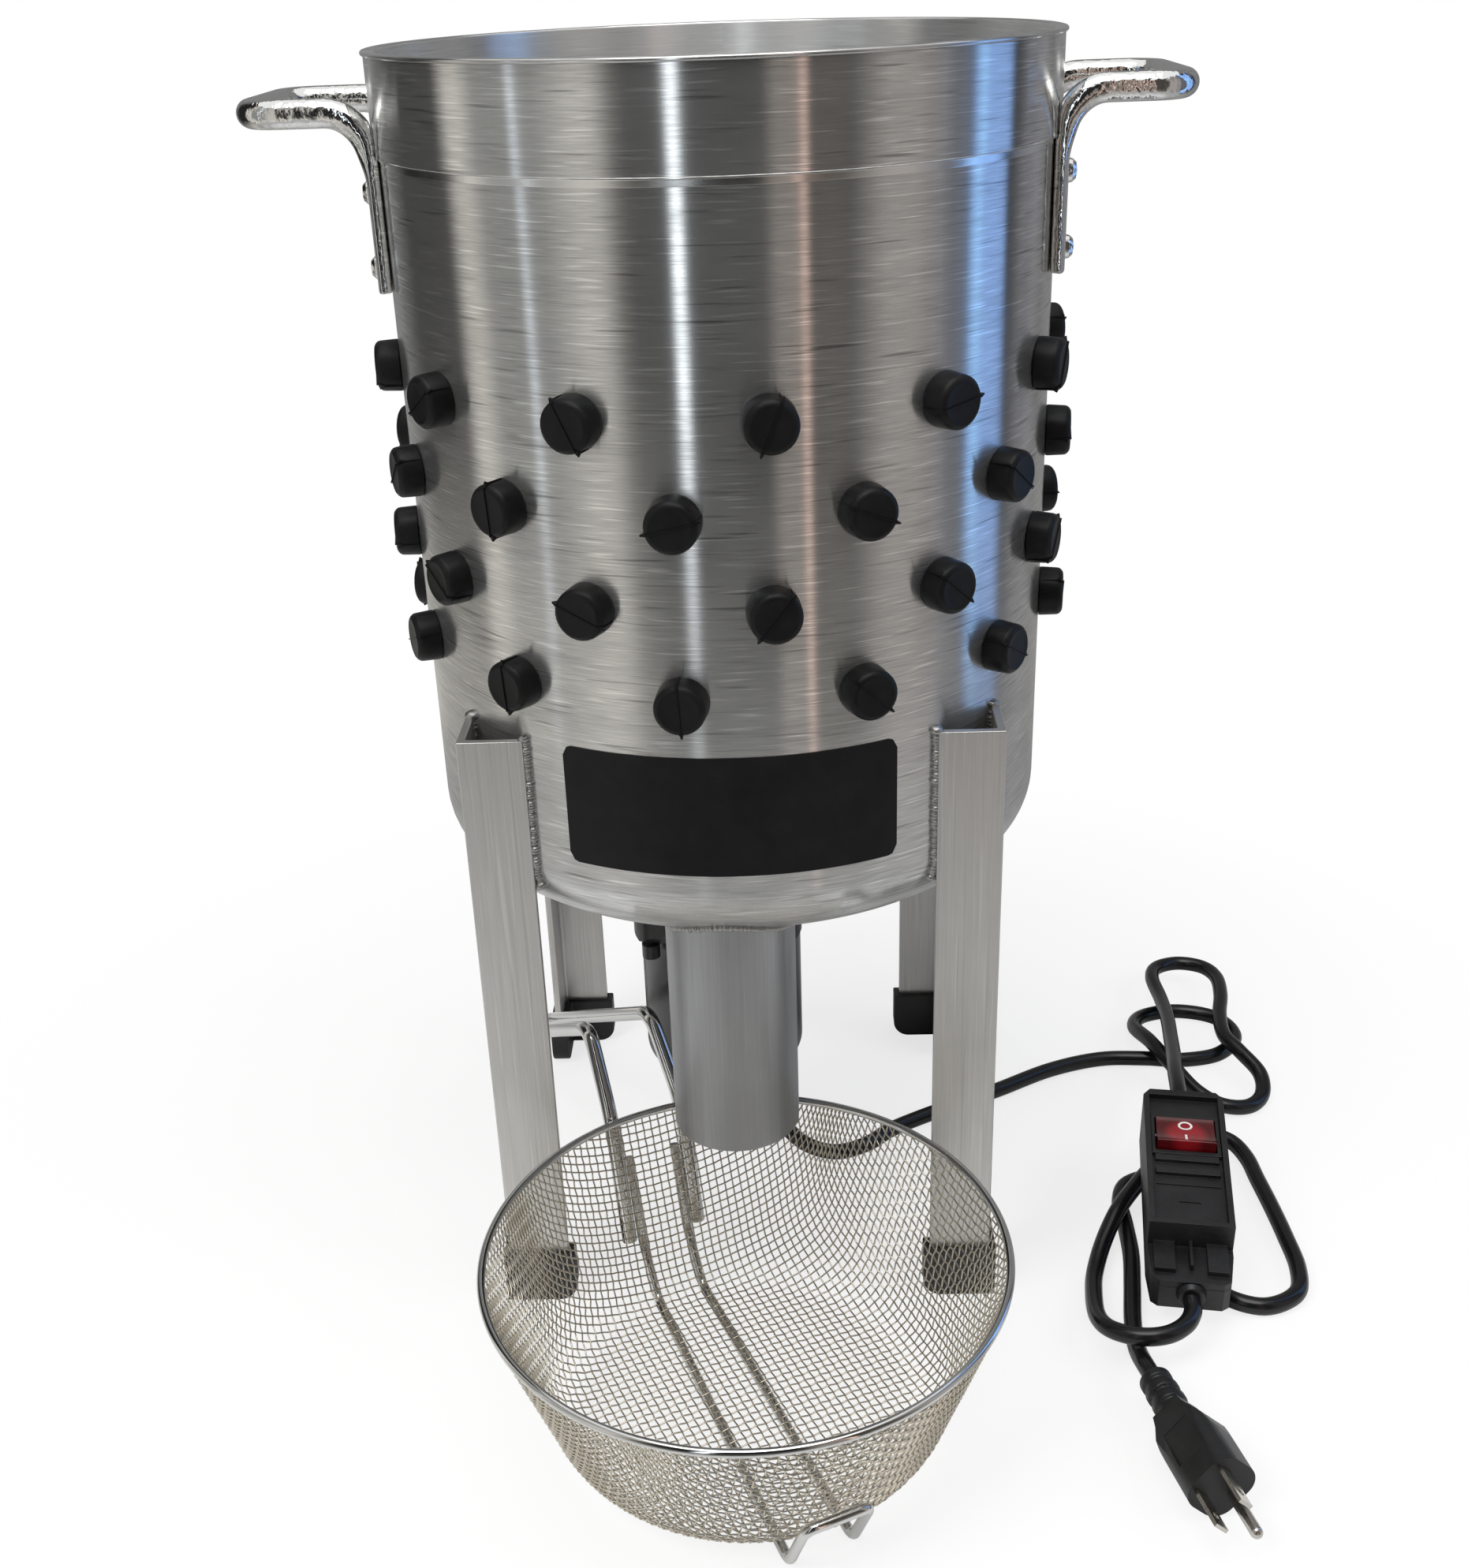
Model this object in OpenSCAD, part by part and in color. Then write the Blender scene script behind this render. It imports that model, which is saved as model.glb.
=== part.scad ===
/* [Drum] */
// Outside radius of the drum
drum_r = 127; // [118:0.5:136]
// Wall of the drum
drum_wall = 3.2; // [2.6:0.1:4]
// Thickness of the drum's floor
drum_floor_t = 4; // [3:0.1:5]
// Height of the drum's underside above the ground
drum_base = 186; // [176:1:200]
// Outside radius of the drum's bottom corner
corner_r = 26; // [22:0.5:29]
// Height of the band at the rim
band_h = 35.8; // [30:0.2:37]
// How far the band stands proud of the wall
band_step = 1.4; // [0.8:0.1:2]

/* [Fingers] */
// Fingers in each row on the wall
finger_count = 12; // [9:1:14]
// Distance between the rows
row_pitch = 33.4; // [28:0.2:38]
// Diameter of a finger's head
head_d = 20; // [18:0.2:22]
// Length of a finger's head
head_len = 9.7; // [8:0.1:11]
// Diameter of the neck in the wall
neck_d = 15.6; // [13:0.1:17]
// Length of a finger past its wall
finger_len = 58; // [50:0.5:62]
// Diameter of a finger's tip
tip_d = 12.4; // [10:0.2:14]

/* [Legs] */
// Flange width of the leg angle
angle_w = 25.4; // [22:0.2:29]
// Thickness of the leg angle
angle_t = 3.2; // [2.6:0.1:4]
// Height of the legs beside the drum
leg_lap = 80; // [70:1:86]
// Height of a foot cap
foot_h = 25; // [20:0.5:30]
// Wall of a foot cap
foot_wall = 2.8; // [2:0.1:3.4]

/* [Handles] */
// How far a handle reaches out from the drum
handle_reach = 48; // [42:0.5:56]
// Distance between the arms of a handle
handle_spread = 68; // [60:0.5:76]
// Diameter of the handle's rod
handle_rod = 10.5; // [9:0.1:12]
// Depth of the handle's lower end below the rim
handle_drop = 92; // [86:0.5:100]

/* [Spout] */
// Outside diameter of the drain spout
spout_d = 52; // [46:0.5:56]
// Wall of the drain spout
spout_wall = 2; // [1.5:0.1:3]

/* [Drive] */
// Width of the square gearbox
gearbox_w = 74; // [68:0.5:78]
// Height of the gearbox
gearbox_h = 51; // [46:0.5:56]
// Diameter of the motor
motor_d = 73; // [66:0.5:74]
// Height of the motor below the gearbox
motor_h = 75; // [65:0.5:85]
// Diameter of the output shaft
shaft_d = 12; // [10:0.1:14]
// Thickness of the feather plate
plate_t = 4; // [3:0.1:5]

/* [Basket] */
// Outside diameter of the basket's rim
basket_d = 205; // [190:1:215]
// Height of the basket's rim wire
rim_z = 80.2; // [74:0.2:90]
// Diameter of the basket's rim wire
rim_wire_d = 3.2; // [2.6:0.1:4]
// Diameter of the basket's handle rod
rod_d = 6.4; // [5.6:0.1:7]

/* [Cord and switch] */
// Diameter of the cord
cord_d = 7.5; // [6.5:0.1:7.8]
// Length of the switch box
box_len = 104; // [100:0.5:110]
// Width of the switch box
box_w = 35.5; // [34:0.5:39]
// Height of the switch box
box_h = 29; // [27.6:0.2:31]
// Length of the plug's blades
blade_len = 17.5; // [15:0.5:19]

/* [Hidden] */
$fn = 64;

// named clearances
seat = 0.05;
run_gap = 0.05;
hole_gap = 0.3;

// fingers
row_phase_odd = 8;
row_phase_even = -7;
collar_r = head_d / 2;
collar_len = 4;
rib_count = 8;
rib_depth = 1.1;
root_r = 8.7;
finger_gap = 6;

// feather plate and drive line
plate_rise = 26;
plate_edge_gap = 6;
plate_z = drum_base + plate_rise;
plate_top = plate_z + plate_t;
plate_r = drum_r - drum_wall - plate_edge_gap;
outer_ring_r = plate_r - head_d - 10;
inner_ring_r = 48;
outer_ring_count = 8;
inner_ring_count = 4;
hub_r = 28;
hub_t = 6;
boss_r = 14;
boss_len = 11;
hub_screw_r = 20;
hub_screw_d = 5;
seal_r = shaft_d / 2 + 4;
seal_flange_r = seal_r + 4;
seal_flange_t = 3;
shaft_low = 34;
motor_off = 11;
flange_t = 14;
gearbox_corner = 8;
gearbox_chamfer = 6;
gearbox_screw_in = 7;
gearbox_screw_d = 8;
gearbox_screw_head = 8.5;
mount_in = 12;
mount_d = 6;
end_cap_h = 20;
end_cap_round = 9;
gland_z = 85;
gland_len = 23;

// heights that follow from the fingers and the handles
handle_row_gap = 12;
row_low = plate_top + finger_len + head_d / 2 + finger_gap;
row_top = row_low + 3 * row_pitch;
rim = row_top + head_d / 2 + handle_row_gap + handle_drop;
drum_h = rim - drum_base;
band_z = rim - band_h;

// handles
handle_level = rim - 20;
handle_bend = 14;
handle_corner = 13;
handle_plate_t = 4;
handle_low = rim - handle_drop;
handle_half = handle_spread / 2;
ridge_off = 4;
ridge_x = sqrt(pow(drum_r + ridge_off, 2) - pow(handle_half, 2));
bar_x = drum_r + handle_reach - handle_rod / 2;
rivet_y = 14;
rivet_top = 50;
rivet_pitch = 27.5;
rivet_d = 4.8;
rivet_head_r = 4.6;

// legs stand with both flange tips on the drum
leg_seat = 0.1;
leg_c = ((angle_w + angle_t) + sqrt(2 * pow(drum_r + leg_seat, 2) - pow(angle_w - angle_t, 2))) / 2;
leg_top = drum_base + leg_lap;
foot_floor = 3;
foot_gap = 0.15;
foot_round = 8;

// basket, set clear of the two front legs and under the spout
basket_x = 1;
basket_turn = 25;
basket_r = basket_d / 2;
leg_clear = 0.4;
basket_y = -leg_c - sqrt(max(0, pow(basket_r + basket_x + leg_clear, 2) - pow(leg_c - angle_w, 2)));
bowl_t = 1.2;
bowl_z = 4.7;
bowl_flat_r = 62;
bowl_knee_r = 82.5;
bowl_knee_z = 24;
runner_d = 4;
runner_gap = 13;
runner_shift = 6;
runner_back = 10.5;
runner_end = [101, 60];
runner_knee = [89.5, 22];
runner_rear = 74;
runner_front = 75.6;
hook_out = 89.6;
hook_z = 31;
rod_side = 16;
rod_far_side = 12;
rod_foot = [91, 24];
rod_out = 23.5;
rod_rise = 33;
rod_run = 152.5;
rod_end_z = 38;
rod_end_left = 25;
rod_end_right = 4;
spout_gap = 6;
spout_x = -3;
spout_in = 34;
spout_y = -(drum_r - spout_in);
spout_low = rim_z + rim_wire_d / 2 + spout_gap;
drain_lip = 1;

// switch box and its rocker
box_at = [185, -128, 10];
box_turn = -8.45;
box_tilt = 6.5;
box_split = 12;
box_wall = 2;
post_r = 4.6;
near_len = 20;
near_h = 15.5;
recess = 3;
rib_places = [61, 53];
rocker_y = 76;
rocker_half = 9.2;
rocker_w = 25.6;
rocker_rest = 9;
bezel_wall = 1.1;
pin_r = 1.4;
rocker_gap = 0.5;
rocker_sweep = 1.1;
pivot_z = box_h - 3.5;

// plug
plug_at = [162, -170, 12];
plug_turn = -78.3;
plug_pitch = 4;
plug_roll = 47;
relief_len = 20;
plug_len = 60;
plug_half = 12.6;
plug_shoulder = 34;
plug_full = 46;
blade_gap = 12.7;
blade_t = 1.5;
blade_w = 6.35;
ground_off = 11.9;
ground_d = 4.75;
ground_len = 21;
blade_z = 3.6;

// centre line of the lead from the motor to the switch box
motor_route = [
    [-11, 59.9, 85], [-11, 70, 84.6], [-10, 85, 76], [-9, 94, 58], [-7, 90, 36],
    [-4, 74, 16], [2, 52, 6], [10, 28, 4.3], [17, 11, 4], [27, -3, 4],
    [41, -9, 4], [56, -3, 4], [68, 8, 4], [82, 17, 4], [100, 27, 4],
    [124, 40, 4], [153, 57, 4], [180, 66, 4], [203, 66, 4], [222, 64, 4],
    [242, 69, 4], [254, 85, 4], [248, 103, 4], [229, 110, 4.2], [210, 105, 4.8],
    [202, 90, 8], [206, 68, 13], [213, 48, 12], [222, 31, 8], [233, 22, 5.5],
    [246, 22, 4.4], [255, 31, 5], [257, 45, 8], [250, 59, 12], [245, 73, 13],
    [247, 92, 13], [252, 112, 13], [254, 131, 12], [249, 143.5, 11.3], [236.5, 148.5, 11],
    [224, 143.5, 11.3], [219, 131, 12.3], [219, 108, 13.8], [217, 82, 18.5], [213, 55, 24],
    [209, 30, 30], [205, 8, 35], [202.3, -11, 37.5], [200.45, -24, 36.07]];
// centre line of the lead from the switch box to the plug
plug_route = [
    [184.35, -132.35, 18.55], [183.6, -138.6, 17.8], [179.6, -145.4, 17.5], [172.2, -150.6, 17.3],
    [163.2, -151.9, 16.9], [154.4, -148.9, 15.8], [148, -141.5, 13.2], [146, -130, 9.6],
    [147.5, -114, 6.6], [150.5, -99, 5.2], [157, -82, 8], [166, -66, 12.6],
    [178, -48, 13], [190, -32, 13], [200, -19, 11.8], [205.6, -6.2, 9],
    [218, -1, 6], [230.4, -6.2, 4.6], [235.4, -18.5, 4.1], [236.6, -35, 4],
    [238, -54, 4], [239, -76, 4], [239, -97, 4], [234, -113, 4],
    [218.5, -120.5, 4], [203, -113, 4], [198, -97, 4], [199.5, -80, 4],
    [204, -64, 4], [205, -50, 4], [199.9, -37.6, 4], [187.5, -32.5, 4],
    [175.1, -37.6, 4], [170, -50, 4], [169.6, -66, 4], [168.6, -86, 4],
    [165.5, -106, 4], [162, -126, 4], [160.3, -141, 4.9], [159.7, -152, 8.2],
    [160.2, -161.2, 11.1], [161.9, -169.6, 11.97]];
cord_sides = 8;
cord_steps = 2;

// sweeping a round tube along points
function unit(v) = v / norm(v);
function clampi(i, n) = max(0, min(n - 1, i));
function spline_at(p, i, f) = let (n = len(p), a = p[clampi(i - 1, n)], b = p[clampi(i, n)],
    c = p[clampi(i + 1, n)], d = p[clampi(i + 2, n)])
    0.5 * (2 * b + (c - a) * f + (2 * a - 5 * b + 4 * c - d) * f * f + (3 * b - a - 3 * c + d) * f * f * f);
function smooth(p, steps) = [for (i = [0 : len(p) - 2], k = [0 : steps - 1]) spline_at(p, i, k / steps),
    p[len(p) - 1]];
function tangents(p) = [for (i = [0 : len(p) - 1]) unit(p[clampi(i + 1, len(p))] - p[clampi(i - 1,
    len(p))])];
function first_side(t) = unit(cross(t, abs(t[2]) < 0.8 ? [0, 0, 1] : [1, 0, 0]));
function sides_of(t) = [for (i = 0, s = first_side(t[0]); i < len(t); i = i + 1,
    s = unit(s - (s * t[clampi(i, len(t))]) * t[clampi(i, len(t))])) s];
function ring_points(p, t, s, r, n) = [for (i = [0 : len(p) - 1], k = [0 : n - 1])
    p[i] + r * (cos(360 * k / n) * s[i] + sin(360 * k / n) * cross(t[i], s[i]))];
function ring_faces(m, n) = concat(
    [for (i = [0 : m - 2], k = [0 : n - 1]) [i * n + k, (i + 1) * n + k, i * n + (k + 1) % n]],
    [for (i = [0 : m - 2], k = [0 : n - 1]) [(i + 1) * n + k, (i + 1) * n + (k + 1) % n,
    i * n + (k + 1) % n]],
    [for (k = [1 : n - 2]) [0, k, k + 1]],
    [for (k = [1 : n - 2]) [(m - 1) * n, (m - 1) * n + k + 1, (m - 1) * n + k]]);
module tube(p, r, n) {
    t = tangents(p);
    polyhedron(points = ring_points(p, t, sides_of(t), r, n), faces = ring_faces(len(p), n),
        convexity = 10);
}
// corners of a bent rod, each rounded over a set distance
function bent(p, d) = concat([p[0]], [for (i = [1 : len(p) - 2], k = [0 : 4])
    let (a = p[i] + d * unit(p[i - 1] - p[i]), b = p[i] + d * unit(p[i + 1] - p[i]), f = k / 4)
    (1 - f) * (1 - f) * a + 2 * f * (1 - f) * p[i] + f * f * b], [p[len(p) - 1]]);

// least space between stretches of the cord that are not neighbours
motor_line = smooth(motor_route, cord_steps);
plug_line = smooth(plug_route, cord_steps);
function own_gap(p, skip) = min([for (i = [0 : len(p) - 1 - skip], j = [i + skip : len(p) - 1])
    norm(p[i] - p[j])]);
function far_gap(p, q) = min([for (a = p, b = q) norm(a - b)]);
motor_fine = smooth(motor_route, 6);
plug_fine = smooth(plug_route, 6);
echo(motor_lead_gap = own_gap(motor_fine, 16) - cord_d);
echo(plug_lead_gap = own_gap(plug_fine, 16) - cord_d);
echo(between_leads = far_gap(motor_fine, plug_fine) - cord_d);

// shared pieces of the drum
module outward(a) { rotate([0, 0, a - 90]) rotate([0, 90, 0]) children(); }
module pot_section(r, h, c) {
    square([r - c, h]);
    translate([0, c]) square([r, h - c]);
    translate([r - c, c]) circle(c);
}
module drum_outside(grow) {
    translate([0, 0, drum_base - grow]) rotate_extrude() pot_section(drum_r + grow, drum_h, corner_r);
}
function row_z(k) = row_top - (k - 1) * row_pitch;
function row_phase(k) = k % 2 == 1 ? row_phase_odd : row_phase_even;
module row_places(k) {
    for (i = [0 : finger_count - 1])
        translate([0, 0, row_z(k)]) outward(row_phase(k) + i * 360 / finger_count)
            translate([0, 0, drum_r]) children();
}
module mount_places() {
    for (x = [-1, 1], y = [-1, 1])
        translate([-motor_off + x * (gearbox_w / 2 - mount_in), y * (gearbox_w / 2 - mount_in), 0])
            children();
}
module rivet_places() {
    for (s = [-1, 1], k = [0, 1])
        translate([0, 0, rim - rivet_top - k * rivet_pitch]) outward(90 + s * asin(rivet_y / drum_r))
            children();
}

// one rubber finger: the head outside at z above 0, the ribbed finger below
module finger(span) {
    neck_r = neck_d / 2;
    head_r = head_d / 2;
    tip_r = tip_d / 2;
    low = -span - collar_len;
    run = finger_len - collar_len - 3;
    pitch = run / rib_count;
    ribs = [for (i = [0 : rib_count - 1], k = [0 : 3])
        let (r = root_r + (tip_r - root_r) * i / rib_count)
        [k < 2 ? r : r - rib_depth, low - (i + [0.08, 0.52, 0.64, 0.96][k]) * pitch]];
    rotate_extrude() polygon(concat([[0, head_len], [head_r - 1.5, head_len], [head_r - 0.4,
        head_len - 1.3],
        [head_r, seat], [neck_r, seat], [neck_r, -span], [collar_r, -span], [collar_r - 0.4, low]], ribs,
        [[tip_r, low - run], [tip_r - 1.6, low - run - 3], [0, low - run - 3]]));
}
wall_span = drum_r - sqrt(pow(drum_r - drum_wall, 2) - pow(collar_r, 2)) + seat;
module finger_row(k) { color("dimgray") row_places(k) finger(wall_span); }

// the drum with its holes
module drum_pot() {
    color("silver") difference() {
        translate([0, 0, drum_base]) rotate_extrude() difference() {
            union() {
                pot_section(drum_r, drum_h, corner_r);
                translate([drum_r - 1, drum_h - band_h]) square([1 + band_step, band_h]);
                translate([drum_r - 1, drum_h - 1.6]) square([2 + band_step, 1.6]);
            }
            translate([0, drum_floor_t]) pot_section(drum_r - drum_wall, drum_h, corner_r - drum_wall);
        }
        for (k = [1 : 4]) row_places(k) translate([0, 0, -2 * drum_wall])
            cylinder(r = neck_d / 2 + hole_gap, h = 3 * drum_wall);
        for (m = [0, 1]) mirror([m, 0, 0]) rivet_places() translate([0, 0, drum_r - 3 * drum_wall])
            cylinder(d = rivet_d + 2 * seat, h = 5 * drum_wall);
        translate([0, 0, drum_base - 1]) cylinder(r = seal_r + seat, h = drum_floor_t + 2);
        mount_places() translate([0, 0, drum_base - 1]) cylinder(d = mount_d + 0.2, h = drum_floor_t + 2);
        translate([spout_x, spout_y, drum_base - 1]) cylinder(r = spout_d / 2 - spout_wall - drain_lip,
            h = corner_r + 4);
    }
}

// one cast handle, on the side towards +X
module handle() {
    r = handle_rod / 2;
    color("gainsboro") difference() {
        union() {
            translate([bar_x, -(handle_half - handle_corner), handle_level]) rotate([-90, 0, 0])
                cylinder(r = r, h = handle_spread - 2 * handle_corner);
            for (m = [0, 1]) mirror([0, m, 0]) {
                translate([bar_x - handle_corner, handle_half - handle_corner, handle_level])
                    rotate_extrude(angle = 90) translate([handle_corner, 0]) circle(r);
                translate([ridge_x + handle_bend, handle_half, handle_level]) rotate([0, 90, 0])
                    cylinder(r = r, h = bar_x - handle_corner - ridge_x - handle_bend);
                translate([ridge_x + handle_bend, handle_half, handle_level - handle_bend])
                    rotate([90, 0, 0])
                    rotate([0, 0, 90]) rotate_extrude(angle = 90) translate([handle_bend, 0]) circle(r);
                translate([ridge_x, handle_half, handle_low])
                    cylinder(r = r, h = handle_level - handle_bend - handle_low);
            }
            intersection() {
                translate([0, 0, handle_low]) cylinder(r = drum_r + handle_plate_t,
                    h = band_z - 1 - handle_low);
                translate([drum_r / 2, -handle_half, handle_low - 1]) cube([drum_r, handle_spread, rim]);
            }
        }
        translate([0, 0, handle_low - 1]) cylinder(r = drum_r + 0.15, h = band_z + 1 - handle_low);
        translate([0, 0, band_z - 0.2]) cylinder(r = drum_r + band_step + 0.15, h = band_h);
        rivet_places() translate([0, 0, drum_r - 2]) cylinder(d = rivet_d + 2 * seat, h = 12);
    }
}
module rivets() {
    head = drum_r + handle_plate_t + seat;
    tail = sqrt(pow(drum_r - drum_wall, 2) - pow(rivet_head_r, 2)) - seat;
    color("silver") rivet_places() rotate_extrude() polygon([[0, tail - 1.6], [rivet_head_r - 0.8,
        tail - 1.6],
        [rivet_head_r, tail], [rivet_d / 2, tail], [rivet_d / 2, head], [rivet_head_r, head],
        [rivet_head_r - 0.4, head + 1.8], [rivet_head_r - 1.7, head + 3.2], [0, head + 3.6]]);
}
module handle_right() { handle(); }
module handle_left() { mirror([1, 0, 0]) handle(); }
module handle_rivets_right() { rivets(); }
module handle_rivets_left() { mirror([1, 0, 0]) rivets(); }

// legs and feet, drawn for the front left corner
module at_corner(right, rear) {
    mirror([right, 0, 0]) mirror([0, rear, 0]) translate([-leg_c, -leg_c, 0]) children();
}
module angle_section() {
    square([angle_w, angle_t]);
    square([angle_t, angle_w]);
    difference() {
        square([angle_t + 1.5, angle_t + 1.5]);
        translate([angle_t + 1.5, angle_t + 1.5]) circle(1.5);
    }
}
module leg(right, rear) {
    color("lightgray") at_corner(right, rear) translate([0, 0, foot_floor])
        linear_extrude(leg_top - foot_floor) angle_section();
}
module foot_side() {
    span = angle_w + foot_wall;
    translate([-foot_wall, 0]) square([span + foot_wall - foot_round, foot_h]);
    translate([0, foot_round]) square([span, foot_h - foot_round]);
    translate([span - foot_round, foot_round]) circle(foot_round);
}
module foot(right, rear) {
    thick = angle_t + 2 * foot_wall;
    color("black") at_corner(right, rear) difference() {
        union() {
            translate([0, -foot_wall + thick, 0]) rotate([90, 0, 0]) linear_extrude(thick) foot_side();
            mirror([1, -1, 0]) translate([0, -foot_wall + thick, 0]) rotate([90, 0, 0])
                linear_extrude(thick) foot_side();
        }
        translate([-foot_gap, -foot_gap, foot_floor]) cube([angle_w + 2 * foot_gap,
            angle_t + 2 * foot_gap, foot_h]);
        translate([-foot_gap, -foot_gap, foot_floor]) cube([angle_t + 2 * foot_gap,
            angle_w + 2 * foot_gap, foot_h]);
        translate([0, 0, foot_floor]) cube([angle_t + 1.7, angle_t + 1.7, foot_h]);
    }
}
module leg_front_left() { leg(0, 0); }
module leg_front_right() { leg(1, 0); }
module leg_rear_left() { leg(0, 1); }
module leg_rear_right() { leg(1, 1); }
module foot_front_left() { foot(0, 0); }
module foot_front_right() { foot(1, 0); }
module foot_rear_left() { foot(0, 1); }
module foot_rear_right() { foot(1, 1); }

// drain spout, its top shaped to the drum's floor and corner
module drain_spout() {
    color("silver") difference() {
        translate([spout_x, spout_y, spout_low]) cylinder(d = spout_d,
            h = drum_base + corner_r - spout_low);
        translate([spout_x, spout_y, spout_low - 1]) cylinder(d = spout_d - 2 * spout_wall,
            h = drum_base + corner_r);
        drum_outside(seat);
    }
}

module drum_fingers_row_1() { finger_row(1); }
module drum_fingers_row_2() { finger_row(2); }
module drum_fingers_row_3() { finger_row(3); }
module drum_fingers_row_4() { finger_row(4); }

// the turning plate inside the drum
module plate_places() {
    for (i = [0 : outer_ring_count - 1]) rotate([0, 0, i * 360 / outer_ring_count])
        translate([outer_ring_r, 0, 0]) children();
    for (i = [0 : inner_ring_count - 1]) rotate([0, 0, 22.5 + i * 360 / inner_ring_count])
        translate([inner_ring_r, 0, 0]) children();
}
module hub_screw_places() {
    for (i = [0 : 3]) rotate([0, 0, 45 + i * 90]) translate([hub_screw_r, 0, 0]) children();
}
module feather_plate() {
    color("silver") difference() {
        translate([0, 0, plate_z]) cylinder(r = plate_r, h = plate_t);
        translate([0, 0, plate_z - 1]) cylinder(r = shaft_d / 2 + seat, h = plate_t + 2);
        plate_places() translate([0, 0, plate_z - 1]) cylinder(r = neck_d / 2 + hole_gap,
            h = plate_t + 2);
        hub_screw_places() translate([0, 0, plate_z - 1]) cylinder(r = hub_screw_d / 2 + seat,
            h = plate_t + 2);
    }
}
module plate_fingers() {
    color("dimgray") plate_places() translate([0, 0, plate_z]) mirror([0, 0, 1]) finger(plate_t + seat);
}
module drive_hub() {
    color("darkgray") difference() {
        union() {
            translate([0, 0, plate_z - hub_t]) cylinder(r = hub_r, h = hub_t);
            translate([0, 0, plate_z - hub_t - boss_len]) cylinder(r = boss_r, h = boss_len);
        }
        translate([0, 0, drum_base]) cylinder(r = shaft_d / 2 + seat, h = plate_rise + 1);
        hub_screw_places() translate([0, 0, plate_z - hub_t - 1])
            cylinder(r = hub_screw_d / 2 + seat, h = hub_t + 2);
        translate([0, 0, plate_z - hub_t - boss_len / 2]) rotate([0, 90, 0])
            cylinder(r = 2 + seat, h = boss_r + 1);
    }
}
module hub_screws() {
    color("dimgray") hub_screw_places() {
        translate([0, 0, plate_top + seat]) cylinder(r = hub_screw_d * 0.85, h = 3);
        translate([0, 0, plate_z - hub_t]) cylinder(d = hub_screw_d, h = hub_t + plate_t + seat + 1);
    }
}
module hub_set_screw() {
    color("dimgray") translate([shaft_d / 2 + seat, 0, plate_z - hub_t - boss_len / 2]) rotate([0, 90, 0])
        cylinder(r = 2, h = boss_r - shaft_d / 2 - 1);
}
module output_shaft() {
    color("lightgray") translate([0, 0, drum_base - shaft_low])
        cylinder(d = shaft_d, h = shaft_low + plate_rise + plate_t + 3);
}
module shaft_seal() {
    color("black") difference() {
        union() {
            translate([0, 0, drum_base]) cylinder(r = seal_r, h = drum_floor_t + 1);
            translate([0, 0, drum_base + drum_floor_t + seat])
                cylinder(r = seal_flange_r, h = seal_flange_t);
        }
        translate([0, 0, drum_base - 1]) cylinder(r = shaft_d / 2 + run_gap,
            h = drum_floor_t + seal_flange_t + 3);
    }
}

// gearbox and motor below the drum
module rounded_square(w, r) {
    square([w - 2 * r, w], center = true);
    square([w, w - 2 * r], center = true);
    for (x = [-1, 1], y = [-1, 1]) translate([x * (w / 2 - r), y * (w / 2 - r)]) circle(r);
}
gearbox_low = drum_base - gearbox_h;
flange_z = drum_base - flange_t;
module gearbox_screw_places() {
    for (x = [-1, 1], y = [-1, 1])
        translate([-motor_off + x * (gearbox_w / 2 - gearbox_screw_in),
            y * (gearbox_w / 2 - gearbox_screw_in), 0]) children();
}
module gearbox_flange() {
    color("black") difference() {
        translate([-motor_off, 0, flange_z + seat]) linear_extrude(flange_t - 2 * seat)
            rounded_square(gearbox_w + 1, gearbox_corner);
        translate([0, 0, flange_z - 1]) cylinder(r = shaft_d / 2 + run_gap, h = flange_t + 2);
        mount_places() translate([0, 0, flange_z + 2]) cylinder(d = mount_d + 2 * seat, h = flange_t);
        gearbox_screw_places() translate([0, 0, flange_z - 1]) cylinder(d = 4.2, h = flange_t - 2);
    }
}
module gearbox_case() {
    color("black") difference() {
        translate([-motor_off, 0, gearbox_low]) linear_extrude(gearbox_h - flange_t)
            rounded_square(gearbox_w, gearbox_corner);
        translate([0, 0, drum_base - shaft_low - 3]) cylinder(r = shaft_d / 2 + 2, h = shaft_low);
        gearbox_screw_places() translate([0, 0, gearbox_low - 1]) cylinder(d = 4.2, h = gearbox_h);
        for (a = [0 : 90 : 270]) translate([-motor_off, 0, gearbox_low]) rotate([0, 0, a])
            translate([gearbox_w / 2, 0, 0])
            rotate([0, 45, 0]) cube([gearbox_chamfer * sqrt(2), 2 * gearbox_w,
                gearbox_chamfer * sqrt(2)], center = true);
    }
}
module gearbox_screws() {
    color("dimgray") gearbox_screw_places() {
        translate([0, 0, gearbox_low - gearbox_screw_head + 2])
            cylinder(d = gearbox_screw_d, h = gearbox_screw_head - 2 - seat);
        translate([0, 0, gearbox_low - 1]) cylinder(d = 4, h = gearbox_h - flange_t + 9);
    }
}
module motor_can() {
    color("black") translate([-motor_off, 0, gearbox_low - motor_h + end_cap_h])
        cylinder(d = motor_d, h = motor_h - end_cap_h - seat);
}
module motor_end_cap() {
    color("black") translate([-motor_off, 0, gearbox_low - motor_h]) difference() {
        rotate_extrude() pot_section(motor_d / 2, end_cap_h - seat, end_cap_round);
        translate([0, 0, -1]) cylinder(r = 9, h = 3);
    }
}
module mounting_screws() {
    color("dimgray") mount_places() {
        translate([0, 0, drum_base + drum_floor_t + seat]) cylinder(d = mount_d * 1.7, h = 4);
        translate([0, 0, flange_z + 3]) cylinder(d = mount_d, h = flange_t + drum_floor_t - 1);
    }
}
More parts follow.
